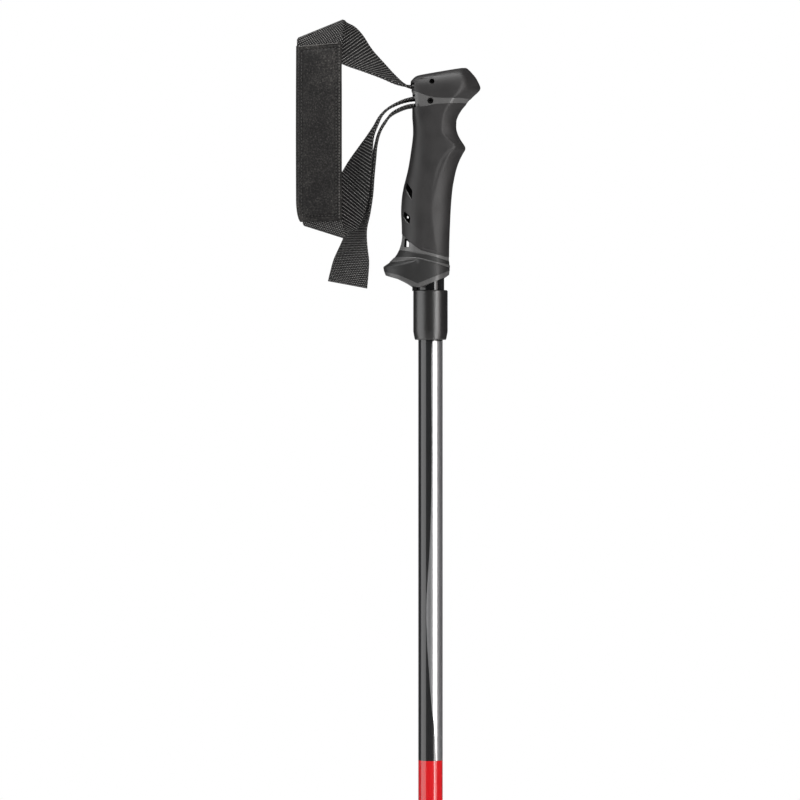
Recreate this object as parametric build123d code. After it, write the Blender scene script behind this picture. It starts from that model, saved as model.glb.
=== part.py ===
from build123d import *
import math
import os

os.makedirs("parts", exist_ok=True)

# Telescoping ski pole. Millimetres, +Z up, pole axis on Z, origin at the very point of the tip.
# The strap side (back) of the grip faces -X, the thumb nose (front) faces +X.

# ---------------------------------------------------------------- driving dimensions
TOP_Z = 1200.0            # top of the grip, pole at its longest
TUBE_R, TUBE_BORE = 9.0, 8.2          # upper tube, 18 mm outside
SHAFT_R, SHAFT_WALL = 8.0, 0.9        # shaft, 16 mm outside
SHAFT_TOP_Z = 1096.0      # upper end of the shaft's end ring, pole at its longest
TRAVEL = 65.0             # shortening travel of the shaft
FIT = 0.06                # radial running fit
COLLAR_R, COLLAR_Z0, COLLAR_Z1 = 11.3, 1021.5, 1054.0
COLLET_STEP = 0.83        # travel of the collet for 150 degrees of collar
PIN_UP = (0.8, 1189.9, 1.65)          # x, z, r of the strap anchor pin
PIN_LOW = (-0.2, 1177.2, 1.9)         # x, z, r of the strap turning pin
WEB_W, WEB_T = 28.0, 1.5              # strap webbing
BASKET_R, BASKET_Z = 28.0, 66.0
LINER_R = 10.4            # outside radius of the grip core's liner

# grip outline, seen along Y: z, back x, front x, half width
GRIP = [
    (1200.0, 10.5, 24.2, 8.0), (1198.7, 5.0, 25.2, 10.6), (1197.1, -1.5, 26.4, 12.4),
    (1194.0, -11.0, 29.2, 14.6), (1191.9, -12.8, 30.7, 15.4), (1189.2, -13.0, 32.1, 16.0),
    (1186.6, -12.6, 32.7, 16.2), (1184.0, -12.3, 31.3, 16.2), (1181.4, -12.0, 28.5, 16.1),
    (1178.7, -12.0, 25.8, 15.8), (1176.1, -12.0, 23.7, 15.5), (1173.5, -12.0, 21.4, 15.0),
    (1170.9, -12.0, 19.5, 14.6), (1168.2, -12.0, 18.1, 14.3), (1164.6, -11.8, 17.0, 14.0),
    (1160.4, -11.5, 16.9, 13.9), (1156.7, -11.5, 17.7, 13.9), (1152.5, -11.8, 19.8, 14.0),
    (1149.3, -12.2, 21.8, 14.1), (1147.2, -12.5, 22.7, 14.2), (1144.6, -12.9, 22.0, 14.2),
    (1140.9, -13.4, 19.9, 14.1), (1136.7, -14.1, 18.1, 14.0), (1131.5, -15.1, 16.5, 14.0),
    (1126.2, -16.4, 15.4, 14.1), (1121.0, -17.7, 14.5, 14.2), (1113.1, -18.9, 13.8, 14.3),
    (1105.2, -19.3, 13.2, 14.3), (1097.4, -18.9, 12.9, 14.1), (1089.5, -18.7, 12.6, 13.9),
    (1085.3, -19.3, 12.4, 13.9), (1081.6, -20.4, 12.3, 14.0), (1079.0, -21.4, 12.2, 14.1),
    (1076.4, -23.0, 12.2, 14.3), (1073.8, -25.1, 12.2, 14.6), (1071.1, -28.2, 12.2, 14.9),
    (1068.7, -30.4, 12.2, 15.1), (1065.4, -30.3, 12.2, 15.1), (1054.0, -29.6, 12.2, 15.0),
]
# outline of what is cut away below the base
BASE_CUT = [(-45, 1064.4), (-30.6, 1064.4), (-29.4, 1063.6), (-21.6, 1061.7), (-15.7, 1058.8),
            (-11.8, 1056.3), (-6.3, 1056.0), (9.0, 1061.8), (12.5, 1064.4), (45, 1064.4),
            (45, 1040), (-45, 1040)]
# seams of the shells, seen along Y
CAP_LINE = [(-45, 1184.2), (-11.8, 1184.1), (-2.9, 1180.6), (1.9, 1179.5), (10.0, 1179.1), (45, 1178.8)]
BAND_LINE = [(-45, 1173.2), (-11.4, 1173.2), (-3.0, 1174.1), (1.7, 1175.0), (9.0, 1175.4), (45, 1176.2)]
SLEEVE_LINE = [(-45, 1100.0), (-23.0, 1096.0), (-18.9, 1091.0), (-14.1, 1085.4), (-6.2, 1079.7),
               (-3.0, 1079.2), (9.0, 1075.6), (12.5, 1075.4), (45, 1075.4)]
CUFF_LINE = [(-45, 1080.4), (-19.8, 1080.2), (-8.3, 1078.1), (9.0, 1074.1), (12.5, 1073.4), (45, 1072.0)]


def node(name, shape):
    solids = shape.solids()
    out = solids[0] if len(solids) == 1 else Compound(children=solids)
    out.label = name
    export_step(out, f"parts/{name}.step")
    return out


def rev(profile):
    """solid of revolution about Z from (r, z) corners"""
    face = make_face(Polyline([(r, 0, z) for r, z in profile], close=True))
    return revolve(face, Axis.Z, 360)


def cyl(r, z0, z1):
    return Pos(0, 0, (z0 + z1) / 2) * Cylinder(r, z1 - z0)


def ycyl(x, z, r, y0, y1):
    return Pos(x, (y0 + y1) / 2, z) * Rot(90, 0, 0) * Cylinder(r, y1 - y0)


def box(x0, x1, y0, y1, z0, z1):
    return Pos((x0 + x1) / 2, (y0 + y1) / 2, (z0 + z1) / 2) * Box(x1 - x0, y1 - y0, z1 - z0)


def slab(points, y0, y1):
    """prism of an X-Z outline between two Y planes"""
    face = make_face(Polyline([(x, y0, z) for x, z in points], close=True))
    return extrude(face, amount=y1 - y0, dir=(0, 1, 0))


def above(line):
    return slab(line + [(45, 1260), (-45, 1260)], -30, 30)


def below(line):
    return slab(line + [(45, 1020), (-45, 1020)], -30, 30)


def section(z, xb, xf, w, grow=0.0, n=20, power=2.6):
    """superelliptic horizontal section; the back is a little narrower than the front"""
    pts = []
    cx, a = (xb + xf) / 2, (xf - xb) / 2 + grow
    for i in range(n):
        t = 2 * math.pi * (i + 0.5) / n
        c, s = math.cos(t), math.sin(t)
        x = cx + a * math.copysign(abs(c) ** (2 / power), c)
        y = (w + grow) * math.copysign(abs(s) ** (2 / power), s)
        pts.append((x, y, z))
    return make_face(Polyline(pts, close=True))


# ---------------------------------------------------------------- grip shells
envelope = loft([section(*g) for g in GRIP], ruled=True)
envelope = envelope - slab(BASE_CUT, -30, 30)
tube_hole = cyl(TUBE_R, 1020, 1168.5)

# rectangular through-windows and slanted vents in the back rib
vent_1 = slab([(-15.4, 1124.4), (-11.9, 1118.7), (-12.5, 1113.1), (-16.3, 1120.6)], -30, 30)
vent_2 = slab([(-17.0, 1105.4), (-13.3, 1101.4), (-13.8, 1096.9), (-17.7, 1102.1)], -30, 30)
window = box(-16.9, -14.3, -30, 30, 1081.9, 1087.4)

# strap chamber in the head: slot at the back, room round both pins
slot = box(-16, 7.0, -WEB_W / 2 - 0.4, WEB_W / 2 + 0.4, 1172.2, 1191.0)
slot = slot + box(-16, -8.0, -WEB_W / 2 - 0.4, WEB_W / 2 + 0.4, 1171.6, 1191.4)
slot = slot + ycyl(PIN_UP[0], PIN_UP[1], 3.0, -WEB_W / 2 - 0.4, WEB_W / 2 + 0.4)
pin_bores = ycyl(*PIN_UP, -20, 20) + ycyl(*PIN_LOW, -20, 20)
# sleeve window for the locking wedge
wedge_room = box(-6.0, 6.5, -6.3, 6.3, 1168.9, 1172.3)

core_head = loft([section(1168.6, -9.5, 15.0, 12.0), section(1181.0, -9.5, 20.0, 13.0),
                  section(1193.0, -6.0, 20.0, 12.0)], ruled=True)
head_shell = envelope & above(CAP_LINE)
head_cap = head_shell - core_head - slot - pin_bores
band = (envelope & below(CAP_LINE)) & above(BAND_LINE)
liner = cyl(LINER_R, 1062.0, 1176.0)
sleeve_zone = (envelope & below(BAND_LINE)) & above(SLEEVE_LINE)
core_base = (envelope & below(SLEEVE_LINE)) & above(CUFF_LINE)
cuff_zone = envelope & below(CUFF_LINE)
hand_sleeve = sleeve_zone - cyl(LINER_R, 1040, 1177) - core_head - vent_1 - vent_2 - slot
base_cuff = cuff_zone - cyl(LINER_R, 1040, 1100) - window
liner_in = liner & envelope
grip_core = (core_head & envelope) + band + liner_in + core_base
grip_core = grip_core - tube_hole - slot - wedge_room - pin_bores - window
grip_core = grip_core - base_cuff - hand_sleeve - head_cap

node("head_cap", head_cap)
node("grip_core", grip_core)
node("hand_sleeve", hand_sleeve)
node("base_cuff", base_cuff)
node("strap_anchor_pin", ycyl(PIN_UP[0], PIN_UP[1], PIN_UP[2], -15.2, 15.2))
node("strap_turn_pin", ycyl(PIN_LOW[0], PIN_LOW[1], PIN_LOW[2], -15.0, 15.0))

# webbing inside the head: an eye round the anchor pin and a half turn round the turning pin
W2 = WEB_W / 2


def yring(x, z, r0, r1):
    return ycyl(x, z, r1, -W2, W2) - ycyl(x, z, r0, -W2 - 1, W2 + 1)


ux, uz, ur = PIN_UP
lx, lz, lr = PIN_LOW
g = 0.05
eye = yring(ux, uz - 0.0, ur + g, ur + g + 1.0)
strap_anchor_eye = (eye + box(-8.6, ux, -W2, W2, uz - ur - g - 1.0, uz - ur - g)) - ycyl(ux, uz, ur + g, -20, 20)
node("strap_anchor_eye", strap_anchor_eye)
loop = yring(lx, lz, lr + g, lr + g + WEB_T) & box(lx, lx + 20, -20, 20, lz - 10, lz + 10)
loop = loop + box(-8.6, lx, -W2, W2, lz + lr + g, lz + lr + g + WEB_T)
loop = loop + box(-8.6, lx, -W2, W2, lz - lr - g - WEB_T, lz - lr - g)
node("strap_turn_loop", loop)

# locking wedge under the tail, pushed forward to free it
wedge = slab([(-5.6, 1169.2), (2.9, 1169.2), (2.9, 1171.2), (-5.6, 1173.2 - 0.2)], -6.0, 6.0)
for k in range(4):
    wedge = wedge - box(-5.0 + 1.6 * k, -4.4 + 1.6 * k, -7, 7, 1171.9 + 0.0 - 0.23 * k * 1.6, 1174)
node("locking_wedge", wedge)

# ---------------------------------------------------------------- upper tube and its clamp
node("upper_tube", rev([(TUBE_BORE, 1038.0), (TUBE_R, 1038.0), (TUBE_R, 1168.5), (TUBE_BORE, 1168.5)]))
node("tube_plug", rev([(0, 1162.6), (7.4, 1162.6), (TUBE_BORE, 1163.4), (TUBE_BORE, 1168.5), (0, 1168.5)]))

# sleeve bonded on the tube's end: a shoulder that holds the collar and an inner cone for the collet
node("clamp_sleeve", rev([
    (TUBE_R, 1052.4), (9.9, 1052.4), (9.9, 1048.0), (10.55, 1048.0), (10.55, 1046.0), (9.9, 1046.0),
    (9.9, 1034.2), (9.25, 1034.2), (8.85, 1036.6), (8.3, 1038.0), (TUBE_R, 1038.0),
]))
# slotted collet round the shaft, its nose in the sleeve's cone, its skirt threaded in the collar
cr = SHAFT_R + FIT
collet = rev([(cr, 1024.6), (9.72, 1024.6), (9.72, 1033.2), (9.05, 1033.6), (8.7, 1035.8), (cr, 1036.6)])
for a in range(0, 360, 60):
    collet = collet - Rot(0, 0, a) * box(cr - 1, 12, -0.5, 0.5, 1028.5, 1040)
node("collet", collet)

# outer collar, turned by hand: ribbed-free barrel with a tapered lower end
collar = rev([
    (10.0, COLLAR_Z1), (COLLAR_R - 0.5, COLLAR_Z1), (COLLAR_R, COLLAR_Z1 - 0.6),
    (COLLAR_R, COLLAR_Z0 + 5.6), (COLLAR_R - 0.3, COLLAR_Z0 + 3.6), (10.35, COLLAR_Z0 + 0.5),
    (9.95, COLLAR_Z0), (9.0, COLLAR_Z0), (9.0, 1023.4), (9.8, 1023.4), (9.8, 1033.8), (10.0, 1034.0),
    (10.0, 1045.9), (10.65, 1045.9), (10.65, 1048.1), (10.0, 1048.1),
])
node("lock_collar", collar)
node("wiper_ring", rev([(cr, 1021.8), (8.9, 1021.6), (9.0, 1021.9), (9.0, 1023.3), (cr, 1023.3)]))

# ---------------------------------------------------------------- shaft
ring_h = 2.4
zt = SHAFT_TOP_Z
plug_r = SHAFT_R - SHAFT_WALL
end_ring = rev([(3.0, zt - 16), (plug_r, zt - 16), (plug_r, zt - 4.4), (7.3, zt - 4.4), (7.3, zt - ring_h),
                (SHAFT_R, zt - ring_h), (SHAFT_R, zt - 0.5), (SHAFT_R - 0.5, zt), (5.6, zt), (5.6, zt - 3.4), (3.0, zt - 5.0)])
end_ring = end_ring - box(-20, 20, -1.25, 1.25, zt - ring_h, zt + 1)
node("end_ring", end_ring)
# nylon bush in the neck under the ring: rides up and down in the tube, the shaft turns in it
node("guide_bush", rev([(7.36, zt - 4.3), (TUBE_BORE - 0.05, zt - 4.3), (TUBE_BORE - 0.05, zt - 2.6), (7.36, zt - 2.6)]))

Z_TAPER, Z_SHAFT_END, R_END = 640.0, 92.0, 5.3
node("shaft_tube", rev([
    (plug_r, zt - 4.4), (SHAFT_R, zt - 4.4), (SHAFT_R, Z_TAPER), (R_END, Z_SHAFT_END),
    (R_END - 0.9, Z_SHAFT_END), (plug_r, Z_TAPER),
]))
# moulded ferrule: cup round the shaft's end, seat and shoulder for the basket, long nose
ferrule = rev([
    (0, 10.0), (3.6, 10.0), (4.2, 16.0), (5.0, 46.0), (5.6, 58.0), (5.6, 76.0), (7.0, 76.6), (7.0, 79.6), (6.5, 81.0),
    (6.7, 108.0), (6.2, 110.0), (5.39, 110.0), (5.31, Z_SHAFT_END), (4.35, Z_SHAFT_END), (4.3, 84.0), (0, 84.0),
])
ferrule = ferrule - cyl(2.0, 5, 34.0) - cyl(2.8, 5, 16.0)
shaft_body = rev([(0, 84), (R_END + 0.0, Z_SHAFT_END), (SHAFT_R, Z_TAPER), (0, Z_TAPER)])
ferrule = ferrule - (shaft_body & cyl(20, Z_SHAFT_END, 200))
node("tip_ferrule", ferrule)
node("tip_holder", rev([(0, 33.5), (2.0, 33.5), (2.0, 16.0), (2.8, 16.0), (2.8, 10.0), (3.0, 10.0), (3.0, 4.0), (2.6, 3.4), (1.8, 3.4), (1.8, 9.0), (0, 9.0)]))
tip = rev([(0, 0.9), (1.2, 0.0), (1.8, 0.7), (1.8, 9.0), (0, 9.0)])
node("carbide_tip", tip)

# basket: hub on the ferrule, six spokes and an outer rim
bz = BASKET_Z
hub = rev([(5.6, 58.2), (8.2, 58.2), (9.4, 62.0), (9.4, 70.0), (7.6, 76.0), (5.6, 76.0)])
rim = rev([(BASKET_R - 5.0, bz + 1.4), (BASKET_R - 1.2, bz - 1.6), (BASKET_R, bz - 1.0), (BASKET_R, bz + 0.4),
           (BASKET_R - 1.4, bz + 1.6), (BASKET_R - 4.6, bz + 3.4)])
web = rev([(8.8, bz + 3.0), (BASKET_R - 4.4, bz + 1.5), (BASKET_R - 4.4, bz + 3.2), (8.8, bz + 5.0)])
holes = None
for a in range(0, 360, 60):
    cut = Rot(0, 0, a + 30) * (Pos(16.0, 0, bz) * Box(9.0, 8.4, 20))
    holes = cut if holes is None else holes + cut
basket = hub + rim + (web - holes)
node("basket", basket)

# ---------------------------------------------------------------- strap outside the head
# Each station is (left edge, right edge) of the ribbon; the ribbon is folded obliquely at top and bottom.
FOLD_R = 3.0
YF, YB = -6.0, 0.0


def mid_y(t):
    """forward bow of the hand section"""
    return YF - 3.0 * math.sin(math.pi * t)


def vec(a):
    return Vector(*a)


TOP_A, TOP_B = (-87.5, 1219.2), (-57.7, 1231.3)      # crease of the top fold, left and right
BOT_A, BOT_B = (-84.5, 1096.8), (-56.6, 1087.9)      # crease of the bottom fold


def fold(a, b, up, depth0):
    """stations round a half turn about the crease a-b; up=+1 for the top fold"""
    dx, dz = b[0] - a[0], b[1] - a[1]
    ln = math.hypot(dx, dz)
    px, pz = -dz / ln * up, dx / ln * up
    off = FOLD_R + WEB_T / 2
    rows = []
    for k in range(0, 7):
        t = math.pi * k / 6
        s = FOLD_R * math.sin(t) - off
        y = (YF + YB) / 2 - FOLD_R * math.cos(t)
        rows.append(((a[0] + px * s, y, a[1] + pz * s), (b[0] + px * s, y, b[1] + pz * s)))
    return rows


stations = []
# upper strand, from the mouth of the head to the top fold
UPPER = [
    ((-13.4, 13.8, 1188.1), (-13.6, -13.8, 1186.9)),
    ((-19.3, 13.8, 1190.6), (-21.7, -13.6, 1188.8)),
    ((-25.6, 13.2, 1197.1), (-31.9, -13.2, 1192.9)),
    ((-34.0, 11.8, 1207.6), (-43.5, -11.8, 1196.6)),
    ((-42.4, 8.8, 1218.1), (-55.0, -8.8, 1200.3)),
    ((-46.6, 5.6, 1223.4), (-64.5, -5.2, 1204.9)),
    ((-50.8, 1.8, 1227.6), (-73.0, -1.2, 1210.0)),
]
stations += UPPER
stations += list(reversed(fold(TOP_A, TOP_B, 1, 0)))
stations = [(p, q) if i < len(UPPER) else (q, p) for i, (p, q) in enumerate(stations)]
# now every pair is (upper/right edge, lower/left edge)
HAND = []
for t, dz in ((0.12, 7.0), (0.3, 2.0), (0.5, 0.0), (0.7, -1.6), (0.88, -4.6)):
    z = 1216.0 + (1096.0 - 1216.0) * t
    HAND.append(((-58.0, mid_y(t), z + dz * 0.8), (-87.2, mid_y(t), z - dz * 0.8)))
stations += HAND
bot = fold(BOT_A, BOT_B, -1, 0)
bot = [(q, p) for p, q in bot]
stations += bot
RETURN = [
    ((-48.7, 1.0, 1093.2), (-75.0, 1.6, 1107.9)),
    ((-44.0, -0.6, 1102.1), (-66.6, 3.6, 1119.9)),
    ((-41.2, -4.6, 1111.5), (-60.3, 8.2, 1128.9)),
    ((-39.3, -8.6, 1127.3), (-54.0, 11.4, 1139.4)),
    ((-38.4, -12.0, 1143.0), (-46.6, 13.0, 1149.3)),
    ((-37.2, -13.2, 1155.1), (-40.3, 13.4, 1157.7)),
    ((-34.2, -13.4, 1162.4), (-36.6, 13.4, 1163.5)),
    ((-32.4, -13.4, 1167.5), (-34.0, 13.4, 1168.2)),
    ((-28.5, -13.6, 1171.6), (-29.8, 13.6, 1173.4)),
    ((-21.5, -13.8, 1174.8), (-22.5, 13.8, 1177.6)),
    ((-13.6, -13.8, 1178.5), (-13.4, 13.8, 1180.0)),
]
stations += RETURN
TAIL = [
    ((-13.4, -13.8, 1174.2), (-13.4, 13.8, 1175.0)),
    ((-20.4, -13.8, 1171.2), (-20.3, 13.8, 1172.9)),
    ((-26.4, -13.8, 1167.6), (-26.7, 13.8, 1169.6)),
    ((-29.4, -13.6, 1163.3), (-31.0, 13.8, 1164.1)),
    ((-32.8, -13.2, 1157.6), (-34.2, 14.0, 1157.9)),
    ((-35.1, -12.4, 1149.8), (-36.4, 14.6, 1150.0)),
    ((-36.2, -11.4, 1139.3), (-38.6, 15.6, 1139.5)),
    ((-37.2, -9.4, 1128.3), (-41.8, 17.2, 1128.9)),
    ((-38.0, -5.4, 1116.7), (-45.6, 19.4, 1118.3)),
    ((-39.8, -1.6, 1104.2), (-50.3, 20.6, 1106.2)),
    ((-41.9, 2.0, 1093.7), (-55.0, 20.4, 1094.7)),
    ((-41.4, 4.6, 1083.2), (-59.7, 18.6, 1084.2)),
    ((-40.3, 6.6, 1073.2), (-63.9, 16.2, 1074.8)),
    ((-40.8, 8.0, 1063.8), (-66.3, 14.2, 1065.9)),
    ((-41.6, 9.0, 1055.4), (-67.6, 13.0, 1060.4)),
]


def ribbon(rows, thick):
    """ruled solid through rectangular sections standing on the given edge pairs"""
    centres = [(vec(p) + vec(q)) * 0.5 for p, q in rows]
    faces = []
    last = None
    for i, (p, q) in enumerate(rows):
        a, b = vec(p), vec(q)
        t = centres[min(i + 1, len(rows) - 1)] - centres[max(i - 1, 0)]
        n = (b - a).cross(t).normalized()
        if last is not None and n.dot(last) < 0:
            n = n * -1
        last = n
        h = n * (thick / 2)
        faces.append(make_face(Polyline([a + h, b + h, b - h, a - h], close=True)))
    return loft(faces, ruled=True)


webbing = ribbon(stations, WEB_T)
node("strap_webbing", webbing)
node("strap_tail", ribbon(TAIL, WEB_T))
# padded hand section in front of the webbing
PAD = []
PAD_T = 2.2
for t in (0.0, 0.12, 0.3, 0.5, 0.7, 0.88, 1.0):
    z = 1214.6 + (1099.4 - 1214.6) * t
    tt = 0.02 + 0.96 * t
    y = mid_y(tt) - WEB_T / 2 - 0.25 - PAD_T / 2
    dz = 4.6 * (1 - t) - 3.6 * t
    PAD.append(((-58.1, y, z + dz), (-88.0, y, z - dz)))
node("strap_pad", ribbon(PAD, PAD_T))
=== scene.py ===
import bpy
import math
import numpy as np
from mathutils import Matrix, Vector


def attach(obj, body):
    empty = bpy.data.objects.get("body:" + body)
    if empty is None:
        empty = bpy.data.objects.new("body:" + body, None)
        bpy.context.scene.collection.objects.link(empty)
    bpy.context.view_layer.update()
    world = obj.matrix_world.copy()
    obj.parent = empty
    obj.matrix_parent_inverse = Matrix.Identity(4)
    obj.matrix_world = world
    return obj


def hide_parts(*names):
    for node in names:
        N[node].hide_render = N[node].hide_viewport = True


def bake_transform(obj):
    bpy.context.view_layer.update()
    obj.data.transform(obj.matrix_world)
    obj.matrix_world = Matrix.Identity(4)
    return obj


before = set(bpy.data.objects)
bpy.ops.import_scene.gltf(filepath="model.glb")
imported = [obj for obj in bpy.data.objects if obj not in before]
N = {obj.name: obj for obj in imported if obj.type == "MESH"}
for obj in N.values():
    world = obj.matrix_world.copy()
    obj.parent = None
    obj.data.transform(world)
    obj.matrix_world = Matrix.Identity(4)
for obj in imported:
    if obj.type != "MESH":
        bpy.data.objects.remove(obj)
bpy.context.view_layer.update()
scene = bpy.context.scene
MM = 0.001

# ------------------------------------------------------------------ camera and stage
cam_data = bpy.data.cameras.new("view_camera")
cam = bpy.data.objects.new("view_camera", cam_data)
scene.collection.objects.link(cam)
FRAME_H = 0.525          # height of the view at the pole, in metres
cam_data.lens = 160.0
cam_data.sensor_width = 36.0
dist = FRAME_H * cam_data.lens / cam_data.sensor_width
TOP_EDGE = 1.2445
cam.location = (-0.020, -dist, TOP_EDGE - FRAME_H / 2)
cam.rotation_euler = (math.radians(90), 0, 0)
cam_data.dof.use_dof = False
cam_data.clip_end = 60
scene.camera = cam
scene.view_settings.view_transform = "Standard"
scene.view_settings.look = "None"


# ------------------------------------------------------------------ node material helpers
def new_mat(name):
    m = bpy.data.materials.new(name)
    m.use_nodes = True
    nt = m.node_tree
    for n in list(nt.nodes):
        nt.nodes.remove(n)
    out = nt.nodes.new("ShaderNodeOutputMaterial")
    bsdf = nt.nodes.new("ShaderNodeBsdfPrincipled")
    nt.links.new(bsdf.outputs[0], out.inputs[0])
    return m, nt, bsdf


class NT:
    """small builder for node trees"""

    def __init__(self, nt):
        self.nt = nt

    def add(self, kind, **props):
        n = self.nt.nodes.new(kind)
        for k, v in props.items():
            setattr(n, k, v)
        return n

    def link(self, a, b):
        self.nt.links.new(a, b)

    def coord(self, which="Object"):
        return self.add("ShaderNodeTexCoord").outputs[which]

    def noise(self, vec, scale, detail=4.0, rough=0.55):
        n = self.add("ShaderNodeTexNoise")
        n.inputs["Scale"].default_value = scale
        n.inputs["Detail"].default_value = detail
        n.inputs["Roughness"].default_value = rough
        self.link(vec, n.inputs["Vector"])
        return n.outputs[0]

    def scaled(self, vec, s):
        n = self.add("ShaderNodeMapping")
        n.inputs["Scale"].default_value = s
        self.link(vec, n.inputs["Vector"])
        return n.outputs[0]

    def ramp(self, fac, stops, interp="LINEAR"):
        n = self.add("ShaderNodeValToRGB")
        n.color_ramp.interpolation = interp
        el = n.color_ramp.elements
        while len(el) > 1:
            el.remove(el[-1])
        el[0].position = stops[0][0]
        el[0].color = (*stops[0][1], 1) if len(stops[0][1]) == 3 else stops[0][1]
        for p, c in stops[1:]:
            e = el.new(p)
            e.color = (*c, 1)
        self.link(fac, n.inputs[0])
        return n.outputs[0]

    def math(self, op, a, b=None, c=None, clamp=False):
        n = self.add("ShaderNodeMath", operation=op, use_clamp=clamp)
        for i, v in enumerate((a, b, c)):
            if v is None:
                continue
            if isinstance(v, (int, float)):
                n.inputs[i].default_value = v
            else:
                self.link(v, n.inputs[i])
        return n.outputs[0]

    def mix(self, fac, a, b):
        n = self.add("ShaderNodeMix", data_type="RGBA")
        if isinstance(fac, (int, float)):
            n.inputs[0].default_value = fac
        else:
            self.link(fac, n.inputs[0])
        for i, v in ((6, a), (7, b)):
            if isinstance(v, tuple):
                n.inputs[i].default_value = (*v, 1)
            else:
                self.link(v, n.inputs[i])
        return n.outputs[2]

    def sep(self, vec):
        n = self.add("ShaderNodeSeparateXYZ")
        self.link(vec, n.inputs[0])
        return n.outputs

    def bump(self, height, strength, distance, normal=None):
        n = self.add("ShaderNodeBump")
        n.inputs["Strength"].default_value = strength
        n.inputs["Distance"].default_value = distance
        self.link(height, n.inputs["Height"])
        if normal is not None:
            self.link(normal, n.inputs["Normal"])
        return n.outputs[0]


def grey(v):
    return (v, v, v)


def moulded(name, dark, light, rough=(0.45, 0.6), grain=1400.0, bump=0.25, dist_m=0.00008, spec=0.5, blotch=70.0):
    """moulded rubber or plastic with a fine grain, slow colour drift and uneven polish"""
    m, nt, b = new_mat(name)
    t = NT(nt)
    co = t.coord()
    slow = t.noise(co, blotch, 3.0)
    fine = t.noise(co, grain, 3.0, 0.6)
    mixf = t.math("ADD", t.math("MULTIPLY", slow, 0.6), t.math("MULTIPLY", fine, 0.4))
    t.link(t.ramp(mixf, [(0.3, dark), (0.7, light)]), b.inputs["Base Color"])
    t.link(t.ramp(slow, [(0.3, grey(rough[0])), (0.7, grey(rough[1]))]), b.inputs["Roughness"])
    t.link(t.bump(fine, bump, dist_m), b.inputs["Normal"])
    b.inputs["Specular IOR Level"].default_value = spec
    return m


M = {}
M["cap"] = moulded("cap_rubber", (0.0115, 0.0109, 0.0109), (0.0175, 0.0165, 0.0165), (0.44, 0.54), 1500, 0.22, 0.0001, 0.40)
M["sleeve"] = moulded("sleeve_rubber", (0.0122, 0.0116, 0.0116), (0.0185, 0.0174, 0.0174), (0.46, 0.56), 1500, 0.22, 0.0001, 0.38)
M["core"] = moulded("core_plastic", (0.066, 0.0655, 0.065), (0.088, 0.0870, 0.086), (0.30, 0.40), 900, 0.12, 0.00006)
M["cuff"] = moulded("cuff_rubber", (0.0088, 0.0087, 0.0086), (0.0135, 0.0134, 0.0132), (0.43, 0.53), 1300, 0.20, 0.00009, 0.40)
# ridge strip and foot rim: a lighter grey that is partly the core plastic's own and partly a painted highlight where
# these edges catch the light
M["ridge"] = moulded("ridge_plastic_and_painted_highlight", (0.047, 0.0465, 0.046), (0.068, 0.0673, 0.0665), (0.32, 0.42), 900, 0.1, 0.00006)
M["pin"] = moulded("pin_steel", (0.0025, 0.0025, 0.0025), (0.006, 0.006, 0.006), (0.30, 0.45), 700, 0.1, 0.00005, 0.2)
M["nylon"] = moulded("inner_nylon", (0.045, 0.045, 0.047), (0.06, 0.06, 0.062), (0.4, 0.55), 800, 0.1, 0.00005)
M["tip"] = moulded("tip_plastic", (0.018, 0.018, 0.018), (0.027, 0.027, 0.027), (0.38, 0.5), 900, 0.15, 0.00008)
M["seal"] = moulded("seal_rubber", (0.012, 0.012, 0.012), (0.02, 0.02, 0.02), (0.5, 0.62), 900, 0.15, 0.00006)


def make_collar():
    """spark-eroded texture: fine pits that catch the narrow light as grains"""
    m, nt, b = new_mat("collar_plastic")
    t = NT(nt)
    co = t.coord()
    v = t.add("ShaderNodeTexVoronoi")
    v.inputs["Scale"].default_value = 2600
    t.link(co, v.inputs["Vector"])
    fine = t.noise(co, 2600, 4.0, 0.65)
    h = t.math("ADD", t.math("MULTIPLY", v.outputs["Distance"], 0.5), fine)
    t.link(t.ramp(fine, [(0.3, (0.005, 0.0048, 0.0046)), (0.7, (0.013, 0.0121, 0.0114))]), b.inputs["Base Color"])
    t.link(t.ramp(fine, [(0.3, grey(0.26)), (0.7, grey(0.36))]), b.inputs["Roughness"])
    t.link(t.bump(h, 0.42, 0.00012), b.inputs["Normal"])
    b.inputs["Specular IOR Level"].default_value = 0.75
    return m


M["collar"] = make_collar()


def make_black_tube():
    m, nt, b = new_mat("tube_black")
    t = NT(nt)
    co = t.coord()
    fine = t.noise(t.scaled(co, (400, 400, 30)), 1.0, 3.0)
    t.link(t.ramp(fine, [(0.3, (0.006, 0.006, 0.006)), (0.7, (0.010, 0.010, 0.0105))]), b.inputs["Base Color"])
    t.link(t.ramp(fine, [(0.3, grey(0.09)), (0.7, grey(0.14))]), b.inputs["Roughness"])
    b.inputs["Specular IOR Level"].default_value = 0.5
    return m


M["tube"] = make_black_tube()


def make_bare(name, base, rough, along=(300, 300, 9000)):
    """turned or drawn bare metal"""
    m, nt, b = new_mat(name)
    t = NT(nt)
    co = t.coord()
    f = t.noise(t.scaled(co, along), 1.0, 3.0)
    t.link(t.ramp(f, [(0.3, tuple(x * 0.86 for x in base)), (0.7, base)]), b.inputs["Base Color"])
    t.link(t.ramp(f, [(0.3, grey(rough - 0.05)), (0.7, grey(rough + 0.08))]), b.inputs["Roughness"])
    b.inputs["Metallic"].default_value = 1.0
    t.link(t.bump(f, 0.15, 0.00004), b.inputs["Normal"])
    return m


M["aluminium"] = make_bare("ring_aluminium", (0.82, 0.82, 0.83), 0.24)
M["steel"] = make_bare("tip_steel", (0.55, 0.55, 0.56), 0.28)
M["carbide"] = make_bare("carbide", (0.30, 0.30, 0.31), 0.42, (900, 900, 900))

SILVER_TOP, SILVER_LOW, SHAFT_MM = 1.0205, 0.7458, 0.008
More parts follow.
